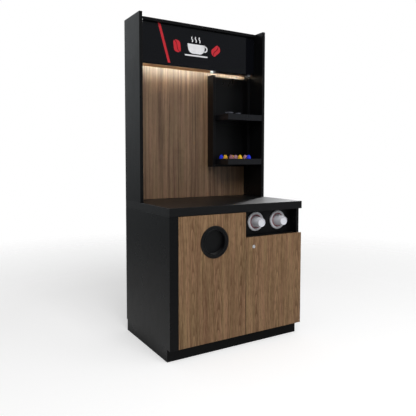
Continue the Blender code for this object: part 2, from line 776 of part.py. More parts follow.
def build_lock():
    """A round cam lock: the housing sits in the door, the plug and its cam turn in it."""
    place = (LOCK_X, Y_FRONT, LOCK_Z)
    bore = LOCK_PLUG_RADIUS + LOCK_CLEARANCE
    rear = -(DOOR_THICK + LOCK_BODY_BEYOND_DOOR)
    housing = (
        (bore, LOCK_HEAD_PROUD),
        (LOCK_HEAD_RADIUS - LOCK_HEAD_ROUND, LOCK_HEAD_PROUD),
        (LOCK_HEAD_RADIUS, LOCK_HEAD_PROUD - LOCK_HEAD_ROUND),
        (LOCK_HEAD_RADIUS, FIT),
        (LOCK_BODY_RADIUS, FIT),
        (LOCK_BODY_RADIUS, rear),
        (bore, rear),
    )
    turned("lock_housing", housing, place, NICKEL, 32, RIGHT_DOOR)
    face = LOCK_HEAD_PROUD - FIT
    tail = rear - LOCK_PLUG_TAIL
    plug = turned(
        "lock_plug",
        ((0, face), (LOCK_PLUG_RADIUS, face), (LOCK_PLUG_RADIUS, tail), (0, tail)),
        place,
        NICKEL,
        24,
        LOCK,
    )
    half_length = LOCK_SLOT_LENGTH / 2
    half_width = LOCK_SLOT_WIDTH / 2
    face_y = Y_FRONT - face
    cut_box(
        plug,
        "key_slot",
        (LOCK_X - half_width, face_y - LOCK_SLOT_DEPTH, LOCK_Z - half_length),
        (LOCK_X + half_width, face_y + LOCK_SLOT_DEPTH, LOCK_Z + half_length),
    )
    half = CAM_WIDTH / 2
    end = CAM_LENGTH - half
    outline = arc((0, 0), half, half, 0, 180, 8) + arc((0, -end), half, half, 180, 360, 8)
    cam_y = Y_FRONT - tail + FIT + CAM_THICK / 2
    plate("lock_cam", outline, CAM_THICK, (LOCK_X, cam_y, LOCK_Z), NICKEL, LOCK, FACING_FRONT)


def build_dispensers():
    """Two cup dispensers through the niche's back: flange, gasket, tube and the front cup."""
    panel = board(
        "niche_back",
        (PARTITION_RIGHT + FIT, NICHE_BACK_FRONT, NICHE_FLOOR_TOP + FIT),
        (RIGHT_BAY - FIT, NICHE_BACK_FRONT + NICHE_BACK_THICK, COUNTER_UNDER - FIT),
        BLACK,
    )
    for side, sign in (("left", -1), ("right", 1)):
        place = (DISPENSER_X + sign * DISPENSER_PITCH / 2, NICHE_BACK_FRONT, DISPENSER_Z)
        hole = TUBE_RADIUS + TUBE_CLEARANCE
        cut_round(panel, "tube_hole_" + side, hole, -2 * NICHE_BACK_THICK, NICHE_BACK_THICK, place)
        build_dispenser(side, place)


def build_dispenser(side, place):
    back = FLANGE_DEPTH - GASKET_SETBACK - GASKET_THICK - FIT
    edge = FLANGE_RADIUS - FLANGE_ROUND
    flange = arc((edge, FLANGE_DEPTH - FLANGE_ROUND), FLANGE_ROUND, FLANGE_ROUND, 90, 0, 4) + [
        (FLANGE_RADIUS, FIT),
        (GASKET_BORE_RADIUS, FIT),
        (GASKET_BORE_RADIUS, back),
        (FLANGE_BORE_RADIUS, back),
        (FLANGE_BORE_RADIUS, FLANGE_DEPTH - FLANGE_ROUND / 2),
        (FLANGE_BORE_RADIUS + FLANGE_ROUND / 2, FLANGE_DEPTH),
    ]
    turned("dispenser_flange_" + side, flange, place, PALE_PLASTIC, DISPENSER_STEPS)
    rear = back + FIT
    outer = FLANGE_BORE_RADIUS - FIT
    gasket = (
        (outer, rear + GASKET_THICK),
        (outer, rear),
        (GASKET_BORE_RADIUS, rear),
        (GASKET_BORE_RADIUS, rear + GASKET_THICK / 2),
        (GASKET_BORE_RADIUS + GASKET_THICK / 2, rear + GASKET_THICK),
    )
    turned("dispenser_gasket_" + side, gasket, place, RED_RUBBER, DISPENSER_STEPS)
    end = -TUBE_LENGTH
    tube = (
        (0, end + TUBE_END_THICK),
        (TUBE_BORE_RADIUS, end + TUBE_END_THICK),
        (TUBE_BORE_RADIUS, 0),
        (TUBE_RADIUS, 0),
        (TUBE_RADIUS, end),
        (0, end),
    )
    turned("dispenser_tube_" + side, tube, place, PLASTIC, DISPENSER_STEPS)
    build_cup(side, place)


def build_cup(side, place):
    """A paper cup with its foot to the front and its rolled rim in the tube."""
    axis = joint_axis("cup_axis_" + side, place, STATION)
    foot = CUP_STICKS_OUT
    mouth = foot - CUP_HEIGHT
    slope = (CUP_MOUTH_RADIUS - CUP_FOOT_RADIUS) / CUP_HEIGHT
    disc = foot - CUP_FOOT_RECESS
    skirt = CUP_FOOT_RADIUS - CUP_WALL
    profile = (
        (0, disc),
        (skirt + slope * CUP_FOOT_RECESS, disc),
        (skirt, foot),
        (CUP_FOOT_RADIUS, foot),
        (CUP_MOUTH_RADIUS - slope * CUP_RIM_HEIGHT, mouth + CUP_RIM_HEIGHT),
        (CUP_RIM_RADIUS, mouth + CUP_RIM_HEIGHT * 0.75),
        (CUP_RIM_RADIUS, mouth + CUP_RIM_HEIGHT * 0.25),
        (CUP_MOUTH_RADIUS, mouth),
        (CUP_MOUTH_RADIUS - CUP_WALL, mouth),
        (CUP_FOOT_RADIUS - CUP_WALL + slope * (CUP_FOOT_RECESS + CUP_WALL), disc - CUP_WALL),
        (0, disc - CUP_WALL),
    )
    turned("cup_" + side, profile, place, PAPER, CUP_STEPS, axis)


def build_back_wall():
    foot = COUNTER_HEIGHT + FIT
    left = HUTCH_LEFT + FIT
    right = HUTCH_RIGHT - FIT
    board("hutch_side_left", (X_LEFT, HUTCH_FRONT, foot), (HUTCH_LEFT, Y_BACK, TOTAL_HEIGHT), BLACK)
    board("hutch_side_right", (HUTCH_RIGHT, HUTCH_FRONT, foot), (X_RIGHT, Y_BACK, TOTAL_HEIGHT), BLACK)
    board("hutch_roof", (left, ROOF_FRONT, ROOF_UNDER), (right, Y_BACK, ROOF_TOP), BLACK)
    under_roof = ROOF_UNDER - FIT
    board(
        "hutch_wall_panel",
        (left, WALL_PANEL_FRONT, foot),
        (right, WALL_PANEL_FRONT + WALL_PANEL_THICK, under_roof),
        WALNUT,
    )
    board("header_fascia", (left, FASCIA_FRONT, FASCIA_BOTTOM), (right, FASCIA_REAR, under_roof), SIGN)
    board(
        "header_soffit",
        (left, FASCIA_REAR + FIT, SOFFIT_UNDER),
        (right, SOFFIT_REAR, SOFFIT_UNDER + SOFFIT_THICK),
        WALNUT,
    )


def build_lights():
    """A light channel behind the fascia's lip that washes the wall, and a light bar over the shelf box."""
    length = HUTCH_RIGHT - HUTCH_LEFT - 2 * CHANNEL_END_GAP
    top = SOFFIT_UNDER - FIT
    half = CHANNEL_HEIGHT / 2
    inner = half - CHANNEL_WALL
    middle = (0, FASCIA_REAR + FIT, top - half)
    outline = (
        (0, -half),
        (CHANNEL_DEPTH, -half),
        (CHANNEL_DEPTH, -inner),
        (CHANNEL_WALL, -inner),
        (CHANNEL_WALL, inner),
        (CHANNEL_DEPTH, inner),
        (CHANNEL_DEPTH, half),
        (0, half),
    )
    # Local X runs back, local Y up and the length along world X
    along = Matrix(((0, 0, 1), (1, 0, 0), (0, 1, 0))).to_4x4()
    plate("led_channel", outline, length, middle, ALUMINIUM, turn=along)
    rear = middle[1] + CHANNEL_DEPTH - DIFFUSER_SETBACK
    board(
        "led_diffuser",
        (-length / 2, rear - DIFFUSER_THICK, middle[2] - inner + FIT),
        (length / 2, rear, middle[2] + inner - FIT),
        DIFFUSER,
        edge=0,
    )
    front = FASCIA_REAR + BAR_SETBACK
    rear = front + BAR_DEPTH
    left = BOX_LEFT - BAR_OVERHANG
    right = HUTCH_RIGHT - BAR_FROM_SIDE
    bar_left = left + BAR_END_LENGTH + FIT
    bar_right = right - BAR_END_LENGTH - FIT
    bar_under = top - BAR_HEIGHT
    board("light_bar", (bar_left, front, bar_under), (bar_right, rear, top), PLASTIC, edge=BAR_EDGE)
    for name, x in (("light_bar_end_left", left), ("light_bar_end_right", right - BAR_END_LENGTH)):
        board(
            name,
            (x, front - BAR_END_EXTRA, bar_under - BAR_END_DROP),
            (x + BAR_END_LENGTH, rear + BAR_END_EXTRA, top),
            WHITE_PLASTIC,
            edge=BAR_EDGE,
        )


def build_shelf_box():
    rear = WALL_PANEL_FRONT - FIT
    inner_right = BOX_RIGHT - BOX_PANEL_THICK
    for name, x in (("shelf_box_left", BOX_LEFT), ("shelf_box_right", inner_right)):
        board(name, (x, BOX_FRONT, BOX_BOTTOM), (x + BOX_PANEL_THICK, rear, BOX_TOP), BLACK)
    back_front = rear - BOX_BACK_THICK
    board(
        "shelf_box_back",
        (BOX_INNER_LEFT, back_front, BOX_BOTTOM),
        (inner_right - FIT, rear, BOX_TOP),
        BLACK,
    )
    front = HUTCH_FRONT + SHELF_SETBACK
    for name, top in (("shelf_upper", UPPER_SHELF_TOP), ("shelf_lower", LOWER_SHELF_TOP)):
        shelf = board(
            name,
            (SHELF_LEFT, front, top - SHELF_THICK),
            (HUTCH_RIGHT - FIT, back_front - FIT, top),
            BLACK,
            edge=SHELF_EDGE,
        )
        cut_box(
            shelf,
            name + "_notch",
            (inner_right - FIT, BOX_FRONT - FIT, top - 2 * SHELF_THICK),
            (HUTCH_RIGHT + BOX_PANEL_THICK, Y_BACK, top + SHELF_THICK),
        )


def build_shelf_goods():
    """Coffee capsules on the lower shelf and two small dishes on the upper one."""
    upright = Matrix()
    front = HUTCH_FRONT + SHELF_SETBACK
    rim = CAPSULE_RIM_THICK
    shoulder = CAPSULE_HEIGHT - CAPSULE_TOP_RADIUS * 0.5
    capsule = [
        (0, CAPSULE_HEIGHT),
        (CAPSULE_TOP_RADIUS * 0.6, CAPSULE_HEIGHT - CAPSULE_TOP_RADIUS * 0.06),
        (CAPSULE_TOP_RADIUS, CAPSULE_HEIGHT - CAPSULE_TOP_RADIUS * 0.22),
        (CAPSULE_TOP_RADIUS * 1.25, shoulder),
        (CAPSULE_BODY_RADIUS, rim * 2),
        (CAPSULE_RIM_RADIUS, rim),
        (CAPSULE_RIM_RADIUS, 0),
        (0, 0),
    ]
    for name, along, behind, colour in CAPSULES:
        foil = finish(name + "_foil", colour, 0.30, 0.8)
        place = (SHELF_LEFT + along, front + behind, LOWER_SHELF_TOP + FIT)
        turned(name, capsule, place, foil, CAPSULE_STEPS, STATION, upright)
    for name, along, behind, rim_radius, foot_radius, height in DISHES:
        dish = (
            (0, DISH_WALL),
            (foot_radius, DISH_WALL),
            (rim_radius - DISH_WALL, height),
            (rim_radius, height),
            (foot_radius + DISH_WALL / 2, 0),
            (0, 0),
        )
        place = (SHELF_LEFT + along, front + behind, UPPER_SHELF_TOP + FIT)
        turned(name, dish, place, STONEWARE, DISH_STEPS, STATION, upright)


build_plinth()
build_carcass()
build_doors()
build_waste_hatch()
build_bin()
build_lock()
build_dispensers()
build_back_wall()
build_lights()
build_shelf_box()
build_shelf_goods()
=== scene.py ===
"""Dresses the free-standing coffee station: finishes, finely turned pieces, sign, lights, stage and camera.

Metres, +Z up, the front faces -Y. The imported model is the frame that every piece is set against.
"""

import math

import bmesh
import bpy
from bpy.props import FloatProperty, FloatVectorProperty, PointerProperty
from mathutils import Matrix, Vector


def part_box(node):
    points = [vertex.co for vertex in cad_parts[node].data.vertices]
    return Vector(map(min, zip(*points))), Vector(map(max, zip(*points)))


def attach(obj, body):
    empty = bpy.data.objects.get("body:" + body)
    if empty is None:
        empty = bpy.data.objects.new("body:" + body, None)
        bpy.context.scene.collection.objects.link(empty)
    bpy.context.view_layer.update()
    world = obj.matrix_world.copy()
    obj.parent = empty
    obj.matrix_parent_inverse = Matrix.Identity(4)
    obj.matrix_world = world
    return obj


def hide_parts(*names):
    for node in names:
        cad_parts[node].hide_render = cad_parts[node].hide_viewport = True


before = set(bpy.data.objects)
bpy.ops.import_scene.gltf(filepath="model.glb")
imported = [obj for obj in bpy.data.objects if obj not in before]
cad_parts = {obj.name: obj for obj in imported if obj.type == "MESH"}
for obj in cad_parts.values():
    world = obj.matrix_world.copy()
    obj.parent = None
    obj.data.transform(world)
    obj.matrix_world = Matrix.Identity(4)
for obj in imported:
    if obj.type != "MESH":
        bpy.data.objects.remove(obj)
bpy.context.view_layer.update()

bl_info = {
    "name": "Coffee Station Dresser",
    "version": (1, 0, 0),
    "blender": (4, 5, 0),
    "location": "View3D > Sidebar > Coffee Station",
    "description": "Finishes, fine pieces and a studio for a free-standing coffee station",
    "category": "Object",
}

# A turned piece is drawn about local Z, which these turn to one side or leave upright
FACING_FRONT = Matrix.Rotation(math.radians(90), 4, "X")
FACING_BACK = Matrix.Rotation(math.radians(-90), 4, "X")
FACING_RIGHT = Matrix.Rotation(math.radians(90), 4, "Y")
FACING_LEFT = Matrix.Rotation(math.radians(-90), 4, "Y")
FACING_DOWN = Matrix.Rotation(math.radians(180), 4, "X")
UPRIGHT = Matrix.Identity(4)

FINE_STEPS = 96
MEDIUM_STEPS = 64
SMALL_STEPS = 48
TOUCH = 0.0003  # gap between pieces that touch
SAME_PLACE = 0.000005  # points closer than this become one
SMOOTH_ANGLE = math.radians(32)

CAPSULE_FOILS = ("blue", "gold", "mauve", "yellow", "pink")
SIDES = ("left", "right")
HINGE_LEVELS = ("bottom", "top")


def colour(name, description, default):
    return FloatVectorProperty(
        name=name, description=description, subtype="COLOR", size=3, min=0.0, max=1.0, default=default
    )


def length(name, description, default):
    return FloatProperty(
        name=name, description=description, unit="LENGTH", min=0.0, default=default, precision=4
    )


def share(name, description, default):
    return FloatProperty(
        name=name, description=description, subtype="FACTOR", min=0.0, max=1.0, default=default
    )


def amount(name, description, default):
    return FloatProperty(name=name, description=description, min=0.0, default=default)


def power(name, description, default):
    return FloatProperty(name=name, description=description, unit="POWER", default=default)


class FinishSettings(bpy.types.PropertyGroup):
    """Colours and gloss of the station's surfaces."""

    laminate: colour("Laminate", "Black laminate of the boards", (0.0046, 0.0047, 0.0052))
    shelf_laminate: colour("Shelf laminate", "Charcoal laminate of the shelves", (0.0120, 0.0124, 0.0146))
    laminate_worn: colour("Worn laminate", "Where edges are rubbed", (0.012, 0.012, 0.013))
    laminate_specular: share("Laminate specular", "Specular level of the boards", 0.30)
    worktop_specular: share("Worktop specular", "Specular level of the counter", 0.50)
    sign_black: colour("Sign board", "Glossy board of the header", (0.0032, 0.0035, 0.0050))
    sign_red: colour("Sign red", "Red vinyl on the sign board", (0.58, 0.014, 0.026))
    sign_white: colour("Sign white", "White vinyl on the sign board", (0.80, 0.80, 0.82))
    door_light: colour("Door light wood", "Light tone of the doors' walnut", (0.315, 0.193, 0.102))
    door_dark: colour("Door dark wood", "Dark tone of the doors' walnut", (0.135, 0.072, 0.034))
    wall_light: colour("Wall light wood", "Light tone of the wall's walnut", (0.250, 0.153, 0.087))
    wall_dark: colour("Wall dark wood", "Dark tone of the wall's walnut", (0.088, 0.048, 0.026))
    # painted light: the soffit's walnut is set more than twice as light as the wall's, a lit copy standing in
    # for the bright band under the sign
    soffit_light: colour("Soffit light wood", "Light tone of the soffit", (0.60, 0.34, 0.19))
    soffit_lit_dark_tone: colour("Soffit dark wood", "Dark tone of the soffit", (0.34, 0.175, 0.090))
    light_colour: colour("Light", "Colour of the hidden light", (0.93, 1.0, 0.92))
    light_strength: amount("Light strength", "Strength of the hidden light", 290.0)
    bar_strength: amount("Bar strength", "Strength of the light bar's lens", 118.0)
    plastic: colour("Black plastic", "Hatch and lamp housing", (0.0036, 0.0037, 0.0042))
    bar_caps: colour("Bar caps", "Plastic of the light bar's end caps", (0.34, 0.35, 0.38))
    flange: colour("Flange", "Pale plastic of the cup dispensers", (0.72, 0.73, 0.77))
    gasket: colour("Gasket", "Red seal of the cup dispensers", (0.40, 0.10, 0.125))
    paper: colour("Paper", "Cup paper", (0.79, 0.80, 0.85))
    bin_grey: colour("Bin", "Waste bin plastic", (0.055, 0.056, 0.060))
    # painted shade: the dishes are set to a mid grey, darker than their pale stoneware, to stand for the
    # shade inside the shelf box
    glaze: colour("Glaze", "Glaze of the dishes", (0.20, 0.21, 0.25))
    blue: colour("Blue foil", "Foil of the blue capsules", (0.020, 0.045, 0.95))
    gold: colour("Gold foil", "Foil of the gold capsule", (0.78, 0.445, 0.040))
    mauve: colour("Mauve foil", "Foil of the mauve capsule", (0.36, 0.15, 0.18))
    yellow: colour("Yellow foil", "Foil of the yellow capsule", (1.0, 0.60, 0.025))
    pink: colour("Pink foil", "Foil of the pink capsule", (0.50, 0.27, 0.34))


class DetailSettings(bpy.types.PropertyGroup):
    """Sizes of the fine pieces."""

    bezel_groove: length("Bezel groove", "Depth of the groove between the bezel's two beads", 0.0022)
    bezel_inner_bead: length("Bezel inner bead", "Width of the bezel's inner bead", 0.0075)
    cup_seam: length("Cup seam", "Width of the cup's lapped side seam", 0.006)
    vinyl: length("Vinyl", "Thickness of the sign's vinyl", 0.0006)
    stripe_width: length("Stripe width", "Width of the slanted stripe", 0.0185)
    sign_cup_width: length("Sign cup", "Width of the cup on the sign", 0.164)
    bean_length: length("Sign bean", "Length of a coffee bean on the sign", 0.086)
    screw_radius: length("Screw head", "Radius of a panel screw's head", 0.0042)


class StageSettings(bpy.types.PropertyGroup):
    """Light and camera."""

    ambient: amount("Ambient", "Even light from all round", 0.34)
    key: power("Key lamp", "Lamp at the front left", 120.0)
    fill: power("Fill lamp", "Lamp at the front right", 22.0)
    sheen: power("Sheen lamp", "Lamp at the rear right, for gloss", 165.0)
    floor: colour("Floor", "Pale floor", (0.80, 0.80, 0.80))
    floor_lift: share("Floor lift", "Brightens the floor towards white where the camera sees it", 0.42)
    camera_place: FloatVectorProperty(
        name="Camera",
        description="Where the camera stands",
        subtype="TRANSLATION",
        default=(-1.6723, -2.6835, 1.1801),
    )
    camera_turn: FloatVectorProperty(
        name="Camera turn",
        description="How the camera is turned",
        subtype="EULER",
        default=(1.5133, -0.0011, -0.5416),
    )
    camera_lens: FloatProperty(
        name="Lens", description="Focal length on a 36 mm frame", unit="CAMERA", default=40.84
    )
    camera_shift: FloatVectorProperty(
        name="Shift", description="Shift of the picture's centre", size=2, default=(0.0047, -0.05325)
    )


class StationSettings(bpy.types.PropertyGroup):
    """All settings of the coffee station."""

    finish: PointerProperty(type=FinishSettings)
    detail: PointerProperty(type=DetailSettings)
    stage: PointerProperty(type=StageSettings)


def settings():
    return bpy.context.scene.coffee_station


# Shader nodes

WHITE = (1.0, 1.0, 1.0, 1.0)
BLACK = (0.0, 0.0, 0.0, 1.0)
# pale tone for faces that look up: a dusty film, and a painted highlight on the hatch's bezel
DUST_AND_HIGHLIGHT_TONE = (0.06, 0.06, 0.06, 1.0)
BOARD_DUST_TONE = (0.09, 0.088, 0.085, 1.0)
PORE_TONE = (0.02, 0.010, 0.006, 1.0)
SPECK_TONE = (0.16, 0.13, 0.10, 1.0)
OPAL_TONE = (0.80, 0.78, 0.74, 1.0)
STEEL_TONE = (0.60, 0.60, 0.61)
NICKEL_TONE = (0.80, 0.81, 0.83)

# the hue of the veneer wanders between these two
COOL_HUE = (0.96, 1.02, 0.94, 1.0)
WARM_HUE = (1.06, 0.97, 1.03, 1.0)

VENEER_LEAF = 0.170  # width of a leaf, which holds one arch of growth rings
ARCH_ROUND = 0.0173  # how blunt the arch is at its top
RINGS_PER_METRE = 105.0
LIVELY_GRAIN = {"Bands": 22.0, "Figure": 0.75, "Run": 2.4, "Climb": 8.0, "Ripple": 0.022, "Flecks": 0.45}
STRAIGHT_GRAIN = {"Bands": 45.0, "Figure": 0.15, "Run": 0.8, "Climb": 0.6, "Ripple": 0.003, "Flecks": 0.22}
GRAIN_ALONG_X = (0.0, math.radians(90), 0.0)


def rgba(tone, strength=1.0):
    return (*(part * strength for part in tone), 1.0)


class Nodes:
    """A shader's node tree, with the kinds of node that the looks are made of."""

    def __init__(self, tree):
        self.tree = tree

    def feed(self, socket, value):
        """Links another node's output to a socket, or sets the socket's own value."""
        if isinstance(value, bpy.types.NodeSocket):
            self.tree.links.new(value, socket)
        else:
            socket.default_value = value

    def add(self, kind, inputs=None, **attributes):
        """Adds a node, sets its attributes, feeds its inputs and returns its outputs."""
        made = self.tree.nodes.new("ShaderNode" + kind)
        for key, value in attributes.items():
            setattr(made, key, value)
        for key, value in (inputs or {}).items():
            self.feed(made.inputs[key], value)
        return made.outputs

    def calc(self, operation, first, second=0.0, clamp=False):
        return self.add("Math", {0: first, 1: second}, operation=operation, use_clamp=clamp)[0]

    def plus(self, first, second, clamp=False):
        return self.calc("ADD", first, second, clamp)

    def times(self, first, second, clamp=False):
        return self.calc("MULTIPLY", first, second, clamp)

    def swing(self, value, reach):
        """Turns a value about a half into one about zero, times its reach."""
        return self.times(self.calc("SUBTRACT", value, 0.5), reach)

    def vector(self, operation, first, second):
        return self.add("VectorMath", {0: first, 1: second}, operation=operation)["Vector"]

    def split(self, vector):
        return self.add("SeparateXYZ", {"Vector": vector})

    def ramp(self, value, low, high, to_low=0.0, to_high=1.0):
        """Maps low..high of a value to another range, and holds it there."""
        inputs = {"Value": value, "From Min": low, "From Max": high, "To Min": to_low, "To Max": to_high}
        return self.add("MapRange", inputs)["Result"]

    def blend(self, factor, first, second, kind="MIX"):
        """Mixes two colours by a mask."""
        return self.add("Mix", {0: factor, 6: first, 7: second}, data_type="RGBA", blend_type=kind)[2]

    def noise(self, vector, scale, detail=2.0, roughness=0.5):
        inputs = {"Vector": vector, "Scale": scale, "Detail": detail, "Roughness": roughness}
        return self.add("TexNoise", inputs)["Fac"]

    def drawn_noise(self, vector, scales, detail=2.0, roughness=0.5):
        """Noise with its own scale along each axis."""
        return self.noise(self.vector("MULTIPLY", vector, scales), 1.0, detail, roughness)


class SharedEffect(Nodes):
    """A shader node group that finishes place with their own values."""

    def __init__(self, name, inputs, outputs):
        super().__init__(bpy.data.node_groups.new(name, "ShaderNodeTree"))
        self.socket("Vector", "INPUT", "Vector")
        for label, default in inputs.items():
            kind = "Float" if isinstance(default, float) else "Color"
            self.socket(label, "INPUT", kind).default_value = default
        for label in outputs:
            self.socket(label, "OUTPUT", "Color" if label == "Color" else "Float")
        self.given = self.tree.nodes.new("NodeGroupInput").outputs
        self.place = self.given["Vector"]
        self.results = self.tree.nodes.new("NodeGroupOutput").inputs

    def socket(self, label, way, kind):
        return self.tree.interface.new_socket(label, in_out=way, socket_type="NodeSocket" + kind)

    def give(self, **outputs):
        for label, value in outputs.items():
            self.feed(self.results[label], value)


def make_pebble_effect():
    """The fine pressed texture of laminate and moulded plastic."""
    effect = SharedEffect("Pebble", {"Scale": 900.0}, ["Height"])
    inputs = {"Vector": effect.place, "Scale": effect.given["Scale"]}
    cells = effect.add("TexVoronoi", inputs, feature="SMOOTH_F1")["Distance"]
    fine = effect.noise(effect.place, effect.given["Scale"], 3.0)
    effect.give(Height=effect.plus(effect.times(cells, 0.6), fine))


def make_smudge_effect():
    """Uneven gloss: wiped areas and faint fingermarks."""
    effect = SharedEffect("Smudges", {"Scale": 4.0, "Low": 0.3, "High": 0.4}, ["Roughness"])
    given = effect.given
    wide = effect.noise(effect.place, given["Scale"], 4.0, 0.6)
    wiped = effect.vector("MULTIPLY", effect.place, (9.0, 9.0, 2.0))
    streaks = effect.noise(wiped, given["Scale"], 3.0)
    mixed = effect.plus(effect.times(wide, 0.65), effect.times(streaks, 0.35))
    effect.give(Roughness=effect.ramp(mixed, 0.35, 0.65, given["Low"], given["High"]))


def make_edge_wear_effect():
    """A mask of the outer edges, broken up where they are rubbed."""
    effect = SharedEffect("Edge Wear", {"Radius": 0.0015, "Amount": 0.6}, ["Mask"])
    rounded = effect.add("Bevel", {"Radius": effect.given["Radius"]}, samples=4)["Normal"]
    flat = effect.add("NewGeometry")["Normal"]
    same = effect.add("VectorMath", {0: rounded, 1: flat}, operation="DOT_PRODUCT")["Value"]
    edge = effect.ramp(same, 0.995, 0.80)
    patches = effect.ramp(effect.noise(effect.place, 22.0, 4.0, 0.65), 0.40, 0.66)
    effect.give(Mask=effect.times(effect.times(edge, patches), effect.given["Amount"], clamp=True))


def make_dust_and_highlight_effect():
    """A thin film of dust on faces that look up."""
    # Lightens faces that look up: a dusty film on most finishes, and on the hatch's bezel a painted highlight
    # where light falls from above.
    effect = SharedEffect("Dust", {"Amount": 0.3}, ["Mask"])
    up = effect.split(effect.add("NewGeometry")["Normal"])["Z"]
    clumps = effect.ramp(effect.noise(effect.place, 14.0, 5.0, 0.6), 0.32, 0.72)
    film = effect.times(effect.ramp(up, 0.5, 0.95), clumps)
    effect.give(Mask=effect.times(film, effect.given["Amount"], clamp=True))


def make_brush_effect():
    """Fine lines left by brushing or turning metal."""
    effect = SharedEffect("Brushed", {"Low": 0.2, "High": 0.35}, ["Roughness", "Height"])
    lines = effect.drawn_noise(effect.place, (40.0, 1500.0, 1500.0), 3.0)
    blotch = effect.noise(effect.place, 60.0, 3.0)
    mixed = effect.times(effect.plus(lines, blotch), 0.5)
    gloss = effect.ramp(mixed, 0.38, 0.62, effect.given["Low"], effect.given["High"])
    effect.give(Roughness=gloss, Height=lines)


def make_walnut_effect():
    """Walnut veneer with its grain along local Z: arched rings, streaks, fibres, flecks and pores."""
    tones = {"Light": (0.25, 0.15, 0.09, 1.0), "Dark": (0.12, 0.07, 0.04, 1.0)}
    wood = SharedEffect("Walnut Grain", {**tones, **LIVELY_GRAIN}, ["Color", "Height", "Roughness"])
    given = wood.given
    drift = wood.swing(wood.drawn_noise(wood.place, (2.6, 2.6, 0.9)), 0.070)
    ripple = wood.swing(wood.drawn_noise(wood.place, (11.0, 11.0, 4.0)), given["Ripple"])
    push = wood.add("CombineXYZ", {"X": wood.plus(drift, ripple)})["Vector"]
    bent = wood.vector("ADD", wood.place, push)

    spot = wood.split(bent)
    reach = wood.calc("PINGPONG", spot["X"], VENEER_LEAF / 2)
    squared = wood.plus(wood.times(reach, reach), ARCH_ROUND ** 2)
    growth = wood.times(wood.calc("SQRT", squared), RINGS_PER_METRE)
    rings = wood.calc("FRACT", wood.plus(growth, wood.times(spot["Z"], given["Climb"])))

    broad = wood.noise(wood.vector("MULTIPLY", bent, (1.0, 1.0, 0.045)), given["Bands"])
    streak_scales = wood.add("CombineXYZ", {"X": 115.0, "Y": 115.0, "Z": given["Run"]})["Vector"]
    streaks = wood.drawn_noise(bent, streak_scales, 3.0, 0.6)
    fibre = wood.drawn_noise(bent, (300.0, 300.0, 6.0), 4.0, 0.6)
    pores = wood.ramp(wood.drawn_noise(bent, (620.0, 620.0, 15.0), 1.0), 0.60, 0.72)
    specks = wood.drawn_noise(bent, (110.0, 110.0, 26.0))
    flecks = wood.ramp(specks, 0.52, 0.68)
    glints = wood.ramp(specks, 0.48, 0.32, 0.0, 0.6)

    figured = wood.plus(wood.ramp(broad, 0.25, 0.75, 0.15, 0.85), wood.swing(rings, given["Figure"]))
    veins = wood.plus(wood.swing(streaks, 2.7), wood.swing(fibre, 1.0))
    tone = wood.plus(figured, veins, clamp=True)
    plain = wood.blend(tone, given["Dark"], given["Light"])
    hue_drift = wood.ramp(wood.drawn_noise(bent, (46.0, 46.0, 2.4)), 0.30, 0.70)
    tinted = wood.blend(1.0, plain, wood.blend(hue_drift, COOL_HUE, WARM_HUE), "MULTIPLY")
    flecked = wood.blend(wood.times(flecks, given["Flecks"]), tinted, given["Dark"])
    glinting = wood.blend(wood.times(glints, given["Flecks"]), flecked, given["Light"])
    deep = wood.blend(0.55, given["Dark"], PORE_TONE)
    wood.give(
        Color=wood.blend(wood.times(pores, 0.45), glinting, deep),
        Height=wood.calc("SUBTRACT", wood.times(fibre, 0.5), pores),
        Roughness=wood.plus(wood.ramp(tone, 0.0, 1.0, 0.50, 0.40), wood.times(pores, 0.15)),
    )


class Finish(Nodes):
    """A material with one Principled shader, made in steps. Its fixed values are set on the shader itself."""

    def __init__(self, name, tone=None, **constants):
        material = bpy.data.materials.new(name + " finish")
        material.use_nodes = True
        super().__init__(material.node_tree)
        self.shader = self.tree.nodes["Principled BSDF"].inputs
        for key, value in constants.items():
            self.shader[key.replace("_", " ")].default_value = value
        self.place = self.add("TexCoord")["Object"]
        self.tone = tone

    def effect(self, name, **inputs):
        """Places a shared effect, on the piece's own coordinates unless given others."""
        return self.add("Group", {"Vector": self.place, **inputs}, node_tree=bpy.data.node_groups[name])

    def plug(self, label, value):
        """Feeds one of the shader's sockets."""
        self.feed(self.shader[label], value)
        return self

    def cover(self, mask, tone):
        """Lays another colour over the first where a mask says so."""
        self.tone = self.blend(mask, self.tone, tone)
        return self.plug("Base Color", self.tone)

    def mottle(self, tone, dim, scale, detail=3.0, roughness=0.5, low=0.3, high=0.7):
        """A colour broken up with a dimmer one."""
        self.tone = rgba(tone, dim)
        return self.cover(self.ramp(self.noise(self.place, scale, detail, roughness), low, high), rgba(tone))

    def rub(self, worn, radius, strength):
        return self.cover(self.effect("Edge Wear", Radius=radius, Amount=strength)["Mask"], rgba(worn))

    # lightens faces that look up: a dusty film, or on the hatch's bezel a painted highlight of light from
    # above
    def dust(self, strength, tone=DUST_AND_HIGHLIGHT_TONE):
        return self.cover(self.effect("Dust", Amount=strength)["Mask"], tone)

    def smudge(self, scale, low, high):
        """Uneven gloss between two roughnesses."""
        return self.plug("Roughness", self.effect("Smudges", Scale=scale, Low=low, High=high)["Roughness"])

    def emboss(self, height, depth, strength=1.0):
        inputs = {"Height": height, "Distance": depth, "Strength": strength}
        return self.plug("Normal", self.add("Bump", inputs)["Normal"])

    def emboss_noise(self, scale, detail, depth, strength=1.0):
        return self.emboss(self.noise(self.place, scale, detail), depth, strength)

    def emboss_pebble(self, scale, depth):
        return self.emboss(self.effect("Pebble", Scale=scale)["Height"], depth)


def finish_named(name):
    return bpy.data.materials[name + " finish"]


def make_laminate(name, base, worn, low, high, specular, dust, pebble_depth):
    """Black pressed laminate on board."""
    finish = Finish(name, rgba(base), Specular_IOR_Level=specular)
    finish.rub(worn, radius=0.0015, strength=0.55).dust(dust, BOARD_DUST_TONE)
    finish.smudge(5.0, low, high).emboss_pebble(950.0, pebble_depth)


